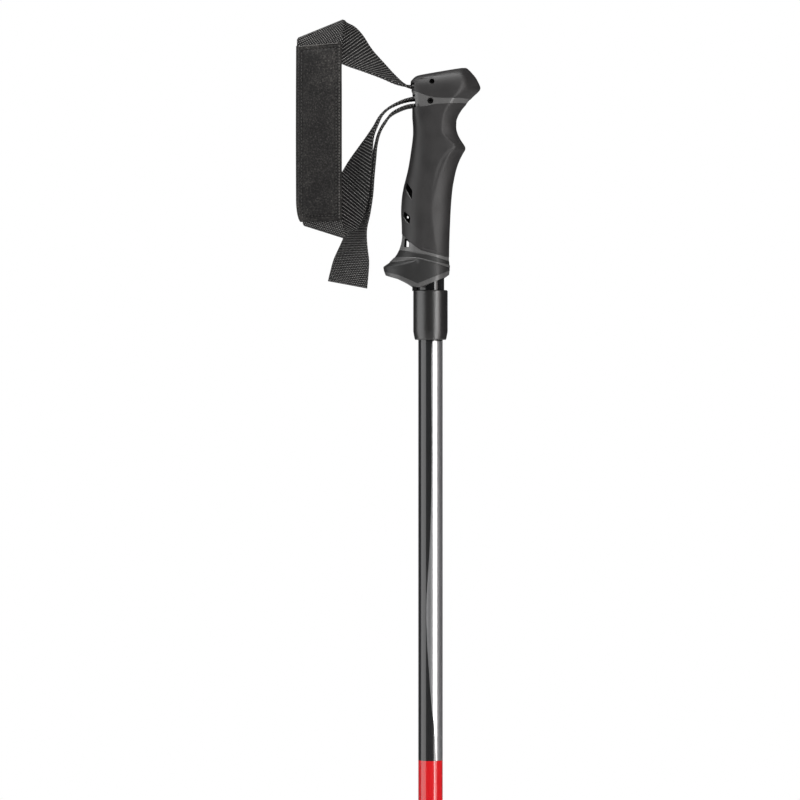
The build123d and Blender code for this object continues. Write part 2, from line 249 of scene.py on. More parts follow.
# left border of the silver field as a share of the radius, from its top to its foot
SILVER_EDGE = [(0.0, 0.14), (0.03, 0.08), (0.25, 0.10), (0.40, 0.04), (0.50, -0.09), (0.59, -0.28), (0.64, -0.335),
               (0.70, -0.30), (0.77, -0.17), (0.865, 0.08), (0.937, 0.35), (1.0, 0.43)]


def make_shaft():
    """gloss lacquer over three colour fields: black, silver with a tapering blade, red below"""
    m, nt, b = new_mat("shaft_paint")
    t = NT(nt)
    co = t.coord()
    x, y, z = t.sep(co)
    s = t.math("DIVIDE", x, SHAFT_MM)
    along = t.math("DIVIDE", t.math("SUBTRACT", SILVER_TOP, z), SILVER_TOP - SILVER_LOW, clamp=True)
    curve = t.add("ShaderNodeFloatCurve")
    c = curve.mapping.curves[0]
    pts = c.points
    while len(pts) > 2:
        pts.remove(pts[1])
    first, last = SILVER_EDGE[0], SILVER_EDGE[-1]
    pts[0].location = (0.0, first[1] * 0.5 + 0.5)
    pts[-1].location = (1.0, last[1] * 0.5 + 0.5)
    for px, py in SILVER_EDGE[1:-1]:
        pts.new(px, py * 0.5 + 0.5)
    curve.mapping.update()
    t.link(along, curve.inputs["Value"])
    edge = t.math("SUBTRACT", t.math("MULTIPLY", curve.outputs[0], 2.0), 1.0)
    right_of = t.math("GREATER_THAN", s, edge)
    in_z = t.math("MULTIPLY", t.math("LESS_THAN", z, SILVER_TOP), t.math("GREATER_THAN", z, SILVER_LOW))
    silver = t.math("MULTIPLY", right_of, in_z)
    red = t.math("LESS_THAN", z, SILVER_LOW)
    flake_v = t.add("ShaderNodeTexVoronoi")
    flake_v.inputs["Scale"].default_value = 4200
    t.link(co, flake_v.inputs["Vector"])
    flake = t.ramp(flake_v.outputs["Color"], [(0.55, (0, 0, 0)), (0.95, (1, 1, 1))])
    drift = t.noise(t.scaled(co, (60, 60, 14)), 1.0, 2.0)
    black = t.mix(flake, (0.004, 0.004, 0.0043), (0.030, 0.030, 0.031))
    anthracite = t.mix(drift, (0.010, 0.010, 0.0105), (0.015, 0.015, 0.0155))
    upper_black = t.math("GREATER_THAN", z, SILVER_TOP)
    dark = t.mix(t.math("MULTIPLY", upper_black, 1.0), t.mix(0.65, black, anthracite), black)
    silver_c = t.mix(flake, (0.42, 0.42, 0.425), (0.64, 0.64, 0.65))
    red_c = t.mix(flake, (0.46, 0.0045, 0.0075), (0.58, 0.010, 0.015))
    col = t.mix(silver, dark, silver_c)
    col = t.mix(red, col, red_c)
    t.link(col, b.inputs["Base Color"])
    t.link(t.math("MULTIPLY", silver, 0.92), b.inputs["Metallic"])
    rough = t.math("SUBTRACT", 0.36, t.math("MULTIPLY", silver, 0.03))
    t.link(t.math("ADD", rough, t.math("MULTIPLY", drift, 0.04)), b.inputs["Roughness"])
    b.inputs["Specular IOR Level"].default_value = 0.15
    b.inputs["Coat Weight"].default_value = 1.0
    b.inputs["Coat Roughness"].default_value = 0.06
    fine = t.noise(co, 3000, 2.0)
    t.link(t.bump(fine, 0.05, 0.00004), b.inputs["Normal"])
    return m


M["shaft"] = make_shaft()


def make_webbing(name, rib_part, dot_part, bright):
    """coarse weave from the strap's own measure in millimetres: ribs of dots on one face, small staggered dots on the other"""
    m, nt, b = new_mat(name)
    t = NT(nt)
    uv = t.add("ShaderNodeUVMap", uv_map="strap_mm")
    u, v, _ = t.sep(uv.outputs[0])
    other = t.math("LESS_THAN", u, 100.0)

    def wave(x, pitch, power):
        w = t.math("SINE", t.math("MULTIPLY", x, 2 * math.pi / pitch))
        return t.math("POWER", t.math("MULTIPLY", t.math("ADD", w, 1.0), 0.5), power)

    co = t.coord()
    wob = t.noise(co, 700, 2.0)
    vv = t.math("ADD", v, t.math("MULTIPLY", t.math("SUBTRACT", wob, 0.5), 0.5))
    ribs = wave(vv, 2.0, 2.6)
    step_a = t.math("MULTIPLY", t.math("FLOOR", t.math("ADD", t.math("DIVIDE", vv, 2.0), 0.25)), 0.55)
    dots_a = wave(t.math("ADD", u, step_a), 1.1, 1.1)
    face_a = t.math("MULTIPLY", t.math("ADD", 0.45, t.math("MULTIPLY", dots_a, 0.55)), ribs)
    rows = wave(vv, 1.15, 1.15)
    step_b = t.math("MULTIPLY", t.math("FLOOR", t.math("ADD", t.math("DIVIDE", vv, 1.15), 0.25)), 0.575)
    dots_b = wave(t.math("ADD", u, step_b), 1.15, 1.15)
    face_b = t.math("MULTIPLY", rows, dots_b)
    ga = t.math("MULTIPLY", face_a, t.math("SUBTRACT", rib_part, t.math("MULTIPLY", other, rib_part * 0.85)))
    gb = t.math("MULTIPLY", face_b, t.math("ADD", dot_part, t.math("MULTIPLY", other, 0.95 - dot_part)))
    spot = t.math("MAXIMUM", ga, gb)
    fuzz = t.noise(co, 2600, 3.0, 0.6)
    fac = t.math("ADD", t.math("MULTIPLY", spot, 0.86), t.math("MULTIPLY", fuzz, 0.14))
    t.link(t.ramp(fac, [(0.08, (0.0018, 0.0018, 0.0018)), (0.30, (0.010, 0.0098, 0.0096)),
                        (0.55, tuple(0.16 * bright * k for k in (1.0, 0.97, 0.94))),
                        (0.9, tuple(0.60 * bright * k for k in (1.0, 0.98, 0.96)))]), b.inputs["Base Color"])
    t.link(t.ramp(fac, [(0.2, grey(0.85)), (0.8, grey(0.5))]), b.inputs["Roughness"])
    h = t.math("ADD", t.math("MULTIPLY", spot, 0.7), t.math("MULTIPLY", ribs, 0.3))
    t.link(t.bump(h, 0.8, 0.0003), b.inputs["Normal"])
    b.inputs["Specular IOR Level"].default_value = 0.2
    return m


M["webbing"] = make_webbing("webbing", 0.84, 0.20, 0.52)
M["tail"] = make_webbing("webbing_tail", 0.62, 0.62, 0.54)


def make_pad():
    m, nt, b = new_mat("pad_fabric")
    t = NT(nt)
    co = t.coord()
    fine = t.noise(co, 2100, 4.0, 0.7)
    speck = t.noise(co, 900, 5.0, 0.8)
    v = t.add("ShaderNodeTexVoronoi")
    v.inputs["Scale"].default_value = 1500
    t.link(co, v.inputs["Vector"])
    slow = t.noise(co, 45, 2.0)
    fac = t.math("ADD", t.math("MULTIPLY", speck, 0.75), t.math("MULTIPLY", slow, 0.25))
    t.link(t.ramp(fac, [(0.38, (0.003, 0.0029, 0.0029)), (0.50, (0.0105, 0.010, 0.0098)), (0.59, (0.034, 0.032, 0.030)),
                        (0.68, (0.11, 0.104, 0.098))]),
           b.inputs["Base Color"])
    t.link(t.ramp(fine, [(0.3, grey(0.7)), (0.7, grey(0.9))]), b.inputs["Roughness"])
    h = t.math("ADD", t.math("MULTIPLY", v.outputs["Distance"], 0.6), fine)
    t.link(t.bump(h, 0.7, 0.00025), b.inputs["Normal"])
    b.inputs["Specular IOR Level"].default_value = 0.2
    return m


M["pad"] = make_pad()


def make_thread(name, c0, c1):
    m, nt, b = new_mat(name)
    t = NT(nt)
    co = t.coord()
    f = t.noise(co, 5000, 3.0)
    t.link(t.ramp(f, [(0.3, c0), (0.7, c1)]), b.inputs["Base Color"])
    t.link(t.ramp(f, [(0.3, grey(0.5)), (0.7, grey(0.7))]), b.inputs["Roughness"])
    t.link(t.bump(f, 0.5, 0.0001), b.inputs["Normal"])
    return m


M["thread"] = make_thread("stitch_thread", (0.022, 0.0214, 0.0208), (0.056, 0.054, 0.0525))
M["binding"] = make_thread("binding_tape", (0.008, 0.008, 0.008), (0.022, 0.021, 0.021))
M["piping"] = make_thread("piping_thread", (0.075, 0.072, 0.069), (0.175, 0.168, 0.16))


def paint(obj, mat):
    obj.data.materials.clear()
    obj.data.materials.append(mat)


# ------------------------------------------------------------------ mesh helpers
def mesh_obj(name, verts, faces, mat, angle=40.0, uv=None):
    """verts in millimetres"""
    me = bpy.data.meshes.new(name)
    me.from_pydata((np.asarray(verts, float) * MM).tolist(), [], faces)
    me.update()
    if uv is not None:
        lay = me.uv_layers.new(name="strap_mm")
        idx = np.zeros(len(me.loops), int)
        me.loops.foreach_get("vertex_index", idx)
        lay.data.foreach_set("uv", np.asarray(uv, float)[idx].ravel())
    o = bpy.data.objects.new(name, me)
    scene.collection.objects.link(o)
    me.materials.append(mat)
    me.shade_smooth()
    me.set_sharp_from_angle(angle=math.radians(angle))
    return o


def fix_normals(o):
    import bmesh
    bm = bmesh.new()
    bm.from_mesh(o.data)
    bmesh.ops.recalc_face_normals(bm, faces=bm.faces)
    bm.to_mesh(o.data)
    bm.free()
    o.data.update()


def ring_faces(nr, nu, closed_u=True, wrap=False, base=0):
    f = []
    rr = nr if wrap else nr - 1
    for i in range(rr):
        for j in range(nu if closed_u else nu - 1):
            a = base + i * nu + j
            b_ = base + i * nu + (j + 1) % nu
            c = base + ((i + 1) % nr) * nu + (j + 1) % nu
            d = base + ((i + 1) % nr) * nu + j
            f.append((a, b_, c, d))
    return f


def hermite(xs, ys, q):
    """smooth interpolation through (xs, ys), monotone in x"""
    xs, ys, q = np.asarray(xs, float), np.asarray(ys, float), np.asarray(q, float)
    h = np.diff(xs)
    d = np.diff(ys) / h
    m = np.zeros_like(ys)
    m[1:-1] = np.where(d[:-1] * d[1:] > 0, 2 * d[:-1] * d[1:] / np.where(np.abs(d[:-1] + d[1:]) < 1e-9, 1, d[:-1] + d[1:]), 0)
    m[0], m[-1] = d[0], d[-1]
    i = np.clip(np.searchsorted(xs, q) - 1, 0, len(xs) - 2)
    t = np.clip((q - xs[i]) / h[i], 0, 1)
    return ((2 * t**3 - 3 * t**2 + 1) * ys[i] + (t**3 - 2 * t**2 + t) * h[i] * m[i]
            + (-2 * t**3 + 3 * t**2) * ys[i + 1] + (t**3 - t**2) * h[i] * m[i + 1])


def smooth1d(a, sigma, step):
    r = int(4 * sigma / step) + 1
    k = np.exp(-0.5 * (np.arange(-r, r + 1) * step / sigma) ** 2)
    k /= k.sum()
    p = np.concatenate([2 * a[0] - a[1:r + 1][::-1], a, 2 * a[-1] - a[-r - 1:-1][::-1]])
    return np.convolve(p, k, "valid")


# ------------------------------------------------------------------ grip surface
BACK = [(1195.54, -7.77), (1193.96, -11.18), (1192.39, -12.5), (1190.29, -13.02), (1188.19, -13.02), (1186.35, -12.6), (1185.04, -12.39), (1183.99, -12.13), (1181.36, -11.97), (1178.74, -11.97), (1173.49, -11.97), (1168.24, -11.97), (1164.56, -11.71), (1160.36, -11.45), (1156.69, -11.45), (1152.49, -11.81), (1149.34, -12.18), (1144.09, -12.97), (1140.94, -13.39), (1136.74, -14.07), (1131.49, -15.12), (1126.24, -16.43), (1120.99, -17.75), (1113.11, -18.95), (1105.24, -19.32), (1097.36, -18.95), (1089.49, -18.8), (1085.29, -19.32), (1081.61, -20.37), (1078.99, -21.42), (1076.36, -23.0), (1073.74, -25.2), (1071.4, -27.9), (1069.6, -30.5), (1069.1, -31.0), (1067.44, -30.65), (1064.6, -30.0), (1061.14, -29.4), (1052.74, -28.4)]
FRONT = [(1195.54, 27.93), (1193.96, 29.35), (1192.39, 30.4), (1190.29, 31.45), (1188.19, 32.45), (1186.35, 32.92), (1185.04, 32.29), (1183.99, 31.34), (1181.36, 28.45), (1178.74, 25.83), (1176.11, 23.73), (1173.49, 21.37), (1170.86, 19.53), (1168.24, 18.11), (1164.56, 17.01), (1160.36, 16.9), (1156.69, 17.75), (1152.49, 19.79), (1149.34, 21.95), (1147.24, 23.0), (1146.19, 22.89), (1144.09, 21.58), (1140.94, 19.95), (1136.74, 18.11), (1131.49, 16.54), (1126.24, 15.43), (1120.99, 14.54), (1113.11, 13.75), (1105.24, 13.23), (1097.36, 12.86), (1089.49, 12.55), (1081.61, 12.34), (1076.36, 12.28), (1073.74, 12.39), (1071.11, 12.5), (1067.44, 12.6), (1061.14, 12.6), (1052.74, 12.6)]
WIDTH = [(1196, 12.0), (1192, 14.3), (1190, 15.2), (1188, 15.8), (1185, 16.15), (1183, 16.1), (1178, 15.6), (1172, 14.9), (1166, 14.2), (1160, 13.9), (1152, 13.9), (1147, 14.1), (1140, 14.1), (1125, 14.0), (1108, 14.3), (1095, 14.1), (1085, 13.9), (1077, 14.3), (1068, 15.1), (1052, 15.0)]
POWER = [(1196, 3.3), (1190, 3.3), (1183, 3.4), (1177, 3.5), (1170, 3.7), (1160, 4.0), (1147, 3.7), (1130, 3.5), (1100, 3.3), (1082, 3.1), (1072, 3.0), (1052, 3.0)]
TAPER = [(1196, 0.62), (1188, 0.62), (1182, 0.58), (1176, 0.48), (1168, 0.36), (1160, 0.34), (1150, 0.36), (1147, 0.40), (1142, 0.36), (1130, 0.26), (1110, 0.22), (1090, 0.18), (1078, 0.12), (1052, 0.06)]
# where the front facet starts, as x, over height
FACET = [(1200, 20.5), (1190, 20.0), (1184, 17.5), (1177, 12.0), (1170, 8.2), (1158, 6.6), (1152, 11.0), (1147.5, 15.8), (1143, 12.2), (1134, 7.6), (1122, 3.2), (1106, 0.2), (1090, 1.5), (1078, 4.0), (1052, 5.0)]
BACKP = [(1200, 7.5), (1176, 7.5), (1168, 5.2), (1160, 4.2), (1150, 3.7), (1125, 3.3), (1100, 3.0), (1082, 2.9), (1072, 2.9), (1052, 3.0)]
TILT = [(1200, 0.10), (1192, 0.10), (1188, 0.06), (1184, 0.03), (1178, 0.0), (1052, 0.0)]


def table(pts):
    pts = sorted(pts)
    return np.array([p[0] for p in pts]), np.array([p[1] for p in pts])


DZ = 0.2
ZS = np.arange(1052.0, 1196.0 + DZ / 2, DZ)
back_raw = np.interp(ZS, *table(BACK))
back_z = smooth1d(hermite(*table(BACK), ZS), 0.7, DZ)
w_ = np.clip((ZS - 1071.0) / 4.0, 0, 1)
back_z = back_z * w_ + smooth1d(back_raw, 0.22, DZ) * (1 - w_)
front_z = smooth1d(hermite(*table(FRONT), ZS), 0.7, DZ)
width_z = smooth1d(hermite(*table(WIDTH), ZS), 1.5, DZ)
power_z = hermite(*table(POWER), ZS)
taper_z = smooth1d(hermite(*table(TAPER), ZS), 1.0, DZ)
facet_z = smooth1d(hermite(*table(FACET), ZS), 0.8, DZ)
backp_z = smooth1d(hermite(*table(BACKP), ZS), 1.0, DZ)

NU = 168


def outline(xb, xf, w, p, a, nar=0.0, pb=None, xfac=6.0, soft=0.06, nu=NU):
    """plan outline, evenly spaced, starting at the front; the front converges from x = xfac on"""
    t = np.linspace(0, 2 * np.pi, 2881)[:-1]
    c, s = np.cos(t), np.sin(t)
    pp = np.where(c > 0, p, pb or p)
    xi = np.sign(c) * np.abs(c) ** (2 / pp)
    eta = np.sign(s) * np.abs(s) ** (2 / pp)
    x = (xb + xf) / 2 + (xf - xb) / 2 * xi
    g = (x - xfac) / max(xf - xfac, 3.0)
    g = np.where(g > 2 * soft, g - soft, np.where(g > 0, g * g / (4 * soft), 0)) * 0.94 / (1 - soft)
    y = w * eta * (1 - a * g) * (1 - nar * np.clip((-xi - 0.1) / 0.9, 0, 1) ** 2)
    d = np.hypot(np.diff(x, append=x[0]), np.diff(y, append=y[0]))
    L = np.concatenate([[0], np.cumsum(d)])
    q = np.linspace(0, L[-1], nu + 1)[:-1]
    return np.interp(q, L, np.append(x, x[0])), np.interp(q, L, np.append(y, y[0]))


Z0 = np.arange(1052.0, 1192.01, DZ)
NLV = len(Z0)
GX = np.zeros((NLV, NU))
GY = np.zeros((NLV, NU))
GZ = np.zeros((NLV, NU))
tilt_lv = hermite(*table(TILT), Z0)
for i, z0 in enumerate(Z0):
    k = tilt_lv[i]
    xb, xf = -12.0, 20.0
    for _ in range(6):
        xb = np.interp(z0 + k * xb, ZS, back_z)
        xf = np.interp(z0 + k * xf, ZS, front_z)
    nar = np.interp(z0, [1060, 1076, 1090, 1125, 1150], [0.10, 0.22, 0.34, 0.30, 0.10])
    x, y = outline(xb, xf, np.interp(z0, ZS, width_z), np.interp(z0, ZS, power_z), np.interp(z0, ZS, taper_z), nar,
                   np.interp(z0, ZS, backp_z), np.interp(z0, ZS, facet_z), np.interp(z0, [1168, 1181], [0.06, 0.24]))
    GX[i], GY[i], GZ[i] = x, y, z0 + k * x

# a crease runs back and down from the finger ridge; the front of the sleeve lies a little lower
CREASE_Z = np.array([1060, 1090, 1105, 1120, 1131, 1139, 1144, 1147.5, 1150, 1156])
CREASE_X = np.array([0.0, 0.5, 0.8, 1.6, 4.0, 7.0, 11.0, 15.5, 19.0, 26.0])
cx = np.interp(GZ, CREASE_Z, CREASE_X)
depth = np.interp(GZ, [1088, 1112, 1135, 1147, 1151], [0.0, 0.15, 0.4, 0.35, 0.0])
step = 1 / (1 + np.exp(-(GX - cx) / 0.45))
GY -= np.sign(GY) * np.minimum(depth * step, np.abs(GY) * 0.5)
# gentle finger hollows on the front of the hand part
for zc, amp, wd in ((1131.0, 0.25, 5.0), (1112.0, 0.25, 6.5)):
    f = np.exp(-((GZ - zc) / wd) ** 2) * np.clip((GX - 2) / 10, 0, 1)
    GY -= np.sign(GY) * amp * f

P = np.stack([GX, GY, GZ], -1)
dU = np.roll(P, -1, 1) - np.roll(P, 1, 1)
dV = np.gradient(P, axis=0)
NRM = np.cross(dU, dV)
NRM /= np.linalg.norm(NRM, axis=-1, keepdims=True) + 1e-12
# outward check
if (NRM[NLV // 2, 0] @ np.array([1, 0, 0])) < 0:
    NRM = -NRM


def seam_levels(line):
    """level number, per column, where the surface meets a seam given as z over x"""
    xs = np.array([p[0] for p in line], float)
    zs = np.array([p[1] for p in line], float)
    fx = np.arange(-46, 46.01, 0.25)
    fz = smooth1d(np.interp(fx, xs, zs), 0.45, 0.25)
    g = GZ - np.interp(GX, fx, fz)
    out = np.zeros(NU)
    for j in range(NU):
        col = g[:, j]
        i = np.where((col[:-1] <= 0) & (col[1:] > 0))[0]
        if len(i) == 0:
            out[j] = 0 if col[0] > 0 else NLV - 1.001
        else:
            i = i[-1]
            out[j] = i + (-col[i]) / (col[i + 1] - col[i])
    return out


def sample(arr, lv):
    i = np.clip(np.floor(lv).astype(int), 0, NLV - 2)
    f = (lv - i)[:, None]
    j = np.arange(NU)
    return arr[i, j] * (1 - f) + arr[i + 1, j] * f


def rings_between(lo, hi, rows, edge_lo=0.45, edge_hi=0.45, sink=0.0, disp=None):
    """rows of points from one seam to the other, rounded over at the seams and sunk by a constant"""
    out = []
    span = (hi - lo) * DZ
    fr = [0.0, 0.06, 0.16, 0.32, 0.55, 0.8]
    e0 = [f * edge_lo for f in fr]
    e1 = [f * edge_hi for f in fr]
    rr = []
    for e in e0:
        rr.append(("lo", e))
    for k in range(1, rows):
        rr.append(("mid", k / rows))
    for e in reversed(e1):
        rr.append(("hi", e))
    for kind, v in rr:
        if kind == "lo":
            d = np.minimum(v, span * 0.45)
            lv = lo + d / DZ
        elif kind == "hi":
            d = np.minimum(v, span * 0.45)
            lv = hi - d / DZ
        else:
            a = lo + np.minimum(edge_lo, span * 0.45) / DZ
            b = hi - np.minimum(edge_hi, span * 0.45) / DZ
            lv = a + (b - a) * v
        p = sample(P, lv)
        n = sample(NRM, lv)
        n /= np.linalg.norm(n, axis=1, keepdims=True)
        dl = (lv - lo) * DZ
        dh = (hi - lv) * DZ
        off = np.full(NU, -sink)
        if edge_lo > 0:
            q = np.clip(1 - dl / edge_lo, 0, 1)
            off -= edge_lo * (1 - np.sqrt(1 - q * q)) * 0.9
        if edge_hi > 0:
            q = np.clip(1 - dh / edge_hi, 0, 1)
            off -= edge_hi * (1 - np.sqrt(1 - q * q)) * 0.9
        if disp is not None:
            off += disp(p)
        out.append(p + n * off[:, None])
    return out


def tube_shell(name, rings, r_in, mat, angle=50):
    """closed shell: the given outer rings and an inner wall at radius r_in round the pole's axis"""
    inner = []
    for r in (rings[-1], rings[0]):
        ang = np.arctan2(r[:, 1], r[:, 0])
        q = np.stack([r_in * np.cos(ang), r_in * np.sin(ang), r[:, 2]], -1)
        inner.append(q)
    allr = list(rings) + inner
    v = np.concatenate(allr)
    return mesh_obj(name, v, ring_faces(len(allr), NU, wrap=True), mat, angle)


def line(pts):
    return pts


CAP = [(-46, 1184.6), (-12.2, 1184.4), (-11.7, 1184.1), (-8.5, 1182.9), (-2.9, 1180.55), (0.5, 1179.75), (3.6, 1179.2), (10.0, 1179.0), (27, 1178.9), (46, 1178.8)]
BAND = [(-46, 1173.2), (-11.4, 1173.3), (-3.0, 1174.05), (0.1, 1174.8), (3.6, 1175.35), (9.0, 1175.5), (14, 1175.6), (24, 1176.2), (46, 1176.4)]
SLEEVE = [(-46, 1108), (-22.5, 1095.8), (-18.8, 1090.5), (-14.1, 1085.6), (-10.4, 1082.4), (-6.2, 1079.6), (-1.5, 1078.5), (9.0, 1075.7), (12.7, 1075.4), (46, 1075.0)]
CUFF = [(-46, 1080.4), (-20.9, 1080.2), (-13.0, 1078.9), (-8.3, 1078.0), (-2.5, 1077.0), (9.0, 1073.7), (12.7, 1072.8), (46, 1072)]
RIDGE_T = [(-46, 1075.0), (-24.6, 1075.3), (-16.2, 1075.5), (-10.4, 1075.3), (-6.7, 1074.7), (3.3, 1072.4), (12.7, 1070.4), (46, 1068)]
RIDGE_B = [(-46, 1072.0), (-26.7, 1072.3), (-17.2, 1072.7), (-11.4, 1073.6), (-6.7, 1073.9), (3.3, 1071.2), (12.7, 1068.6), (46, 1064)]
RIM = [(-46, 1066.0), (-29.5, 1065.7), (-21.4, 1063.7), (-13.0, 1060.1), (-8.6, 1058.1), (8.0, 1064.7), (12.7, 1066.8), (46, 1069)]
BASE = [(-46, 1064.2), (-30.6, 1064.1), (-29.4, 1063.7), (-21.6, 1061.7), (-15.6, 1058.8), (-11.9, 1056.3), (-8.6, 1055.5), (-6.3, 1056.0), (9.0, 1061.8), (12.5, 1064.2), (46, 1066)]

L_cap, L_band, L_sleeve, L_cuff = map(seam_levels, (CAP, BAND, SLEEVE, CUFF))
L_rt, L_rb, L_rim, L_base = map(seam_levels, (RIDGE_T, RIDGE_B, RIM, BASE))
TOPLV = np.full(NU, NLV - 1.001)


def poly_dist(p, line_pts):
    """distance in the side view from points to a polyline"""
    best = np.full(len(p), 1e9)
    for (x0, z0), (x1, z1) in zip(line_pts[:-1], line_pts[1:]):
        d = np.array([x1 - x0, z1 - z0])
        L2 = d @ d
        t = np.clip(((p[:, 0] - x0) * d[0] + (p[:, 2] - z0) * d[1]) / L2, 0, 1)
        best = np.minimum(best, np.hypot(p[:, 0] - x0 - t * d[0], p[:, 2] - z0 - t * d[1]))
    return best


# --- head cap: wall, chamfered shoulder and a gently domed top
cap_rings = rings_between(L_cap, TOPLV, 44, edge_lo=0.5, edge_hi=0.0)
TOP = [
    (1192.6, 0.110, -12.4, 27.85, 13.9, 3.2, 0.60),
    (1193.2, 0.120, -12.0, 27.2, 13.3, 3.1, 0.60),
    (1194.0, 0.137, -11.4, 26.2, 12.3, 3.0, 0.58),
    (1194.8, 0.153, -10.7, 25.1, 10.9, 2.9, 0.56),
    (1195.4, 0.163, -9.9, 24.3, 9.4, 2.8, 0.54),
    (1195.8, 0.168, -8.9, 23.6, 7.9, 2.8, 0.52),
    (1196.0, 0.171, -7.6, 22.8, 6.4, 2.7, 0.50),
]
for z0, k, xb, xf, w, p_, a_ in TOP:
    x, y = outline(xb, xf, w, p_, a_, 0.0, 5.5, 19.5, 0.24)
    cap_rings.append(np.stack([x, y, z0 + k * x], -1))
last = cap_rings[-1]
cen = np.array([8.0, 0.0, 0.0])
for s_, dz in ((0.8, 0.10), (0.55, 0.17), (0.3, 0.2), (0.1, 0.21)):
    x = cen[0] + (last[:, 0] - cen[0]) * s_
    y = last[:, 1] * s_
    cap_rings.append(np.stack([x, y, 1196.0 + 0.171 * x + dz], -1))


def closed_head(name, rings, mat):
    """closed solid from rings, fanned to a point at the top and at the bottom"""
    v = list(np.concatenate(rings))
    nr = len(rings)
    f = ring_faces(nr, NU)
    top, bot = len(v), len(v) + 1
    v.append(np.array([cen[0], 0, 1196.0 + 0.171 * cen[0] + 0.21]))
    v.append(np.array([4.0, 0, float(np.mean(rings[0][:, 2]))]))
    for j in range(NU):
        f.append(((nr - 1) * NU + j, (nr - 1) * NU + (j + 1) % NU, top))
        f.append(((j + 1) % NU, j, bot))
    return mesh_obj(name, np.array(v), f, mat, 50)


grip_cap = closed_head("grip_cap", cap_rings, M["cap"])
band_rings = rings_between(L_band, L_cap, 8, 0.0, 0.0, sink=0.22)
grip_band = tube_shell("grip_band", band_rings, 6.5, M["core"])


def sleeve_disp(p):
    side = np.abs(p[:, 1]) > 3
    groove = poly_dist(p, [(-4.8, 1081.2), (2.0, 1079.6), (9.5, 1077.2)])
    return -0.16 * np.exp(-(groove / 0.35) ** 2) * side


sleeve_rings = rings_between(L_sleeve, L_band, 330, 0.5, 0.5, disp=sleeve_disp)
grip_sleeve = tube_shell("grip_sleeve", sleeve_rings, 10.4, M["sleeve"])
core_rings = rings_between(L_cuff, L_sleeve, 12, 0.15, 0.0, sink=0.2)
grip_core_base = tube_shell("grip_core_base", core_rings, 9.1, M["core"])
cuff_up = tube_shell("grip_cuff_upper", rings_between(L_rt, L_cuff, 10, 0.25, 0.5, sink=0.1), 9.1, M["cuff"])
# ridge strip in the lighter ridge material: its grey is partly the core plastic's own and partly a painted highlight
# where the ridge top catches the light
ridge = tube_shell("grip_ridge", rings_between(L_rb, L_rt, 8, 0.5, 0.5, sink=-0.22), 9.1, M["ridge"])


def cuff_disp(p):
    a = poly_dist(p, [(-27.5, 1069.4), (-20.0, 1069.9), (-14.0, 1071.0), (-9.5, 1072.4)])
    g = poly_dist(p, [(-27.5, 1071.4), (-18.0, 1071.7), (-11.5, 1072.9)])
    fade = np.clip((p[:, 0] + 29.0) / 4.0, 0, 1)
    return (0.50 * np.exp(-(a / 1.35) ** 2) - 0.34 * np.exp(-(g / 0.6) ** 2)) * fade


cuff_panel = tube_shell("grip_cuff_panel", rings_between(L_rim, L_rb, 60, 0.2, 0.3, disp=cuff_disp), 9.1, M["cuff"])
# foot rim: a chamfer that turns under to the tube, in the lighter ridge material; its lightness is partly the core
# plastic's grey and partly a painted highlight where the chamfer catches the light
rim_rings = rings_between(L_base, L_rim, 8, 0.0, 0.0, sink=0.05)
span = len(rim_rings)
for i, r in enumerate(rim_rings):
    t_ = 1 - i / (span - 1)
    v_ = r.copy()
    cen_xy = np.array([-6.0, 0.0])
    d_ = v_[:, :2] - cen_xy
    ln = np.linalg.norm(d_, axis=1, keepdims=True)
    v_[:, :2] -= d_ / ln * (0.55 * t_ ** 1.7)
    rim_rings[i] = v_
foot_rim = tube_shell("grip_foot_rim", rim_rings, 9.1, M["ridge"])


def prism(name, outline_xz, y0, y1, mat=None):
    n = len(outline_xz)
    v = [(x, y0, z) for x, z in outline_xz] + [(x, y1, z) for x, z in outline_xz]
    f = [tuple(range(n))[::-1], tuple(range(n, 2 * n))]
    for i in range(n):
        f.append((i, (i + 1) % n, n + (i + 1) % n, n + i))
    o = mesh_obj(name, v, f, mat or M["core"], 30)
    fix_normals(o)
    return o


def ycyl(name, x, z, r, y0, y1, n=40):
    return prism(name, [(x + r * math.cos(2 * math.pi * i / n), z + r * math.sin(2 * math.pi * i / n)) for i in range(n)], y0, y1)


def rounded(pts, r, n=5):
    """polygon with rounded corners"""
    out = []
    m = len(pts)
    for i in range(m):
        p0, p1, p2 = (np.array(pts[(i + k) % m], float) for k in (-1, 0, 1))
        a = (p0 - p1) / np.linalg.norm(p0 - p1)
        b = (p2 - p1) / np.linalg.norm(p2 - p1)
        for k in range(n + 1):
            t = k / n
            q = (1 - t) ** 2 * (p1 + a * r) + 2 * t * (1 - t) * p1 + t * t * (p1 + b * r)
            out.append(tuple(q))
    return out


def carve(obj, cutters):
    for c in cutters:
        fix_normals(c)
        md = obj.modifiers.new("carve", "BOOLEAN")
        md.operation = "DIFFERENCE"
        md.solver = "EXACT"
        md.object = c
    dg = bpy.context.evaluated_depsgraph_get()
    me = bpy.data.meshes.new_from_object(obj.evaluated_get(dg), depsgraph=dg)
    mats = [m for m in obj.data.materials]
    obj.modifiers.clear()
    obj.data = me
    me.materials.clear()
    for m in mats[:1]:
        me.materials.append(m)
    for pl in me.polygons:
        pl.material_index = 0
    me.shade_smooth()
    me.set_sharp_from_angle(angle=math.radians(42))
    for c in cutters:
        bpy.data.objects.remove(c)




PU, PL = (0.8, 1189.9), (-0.2, 1177.2)


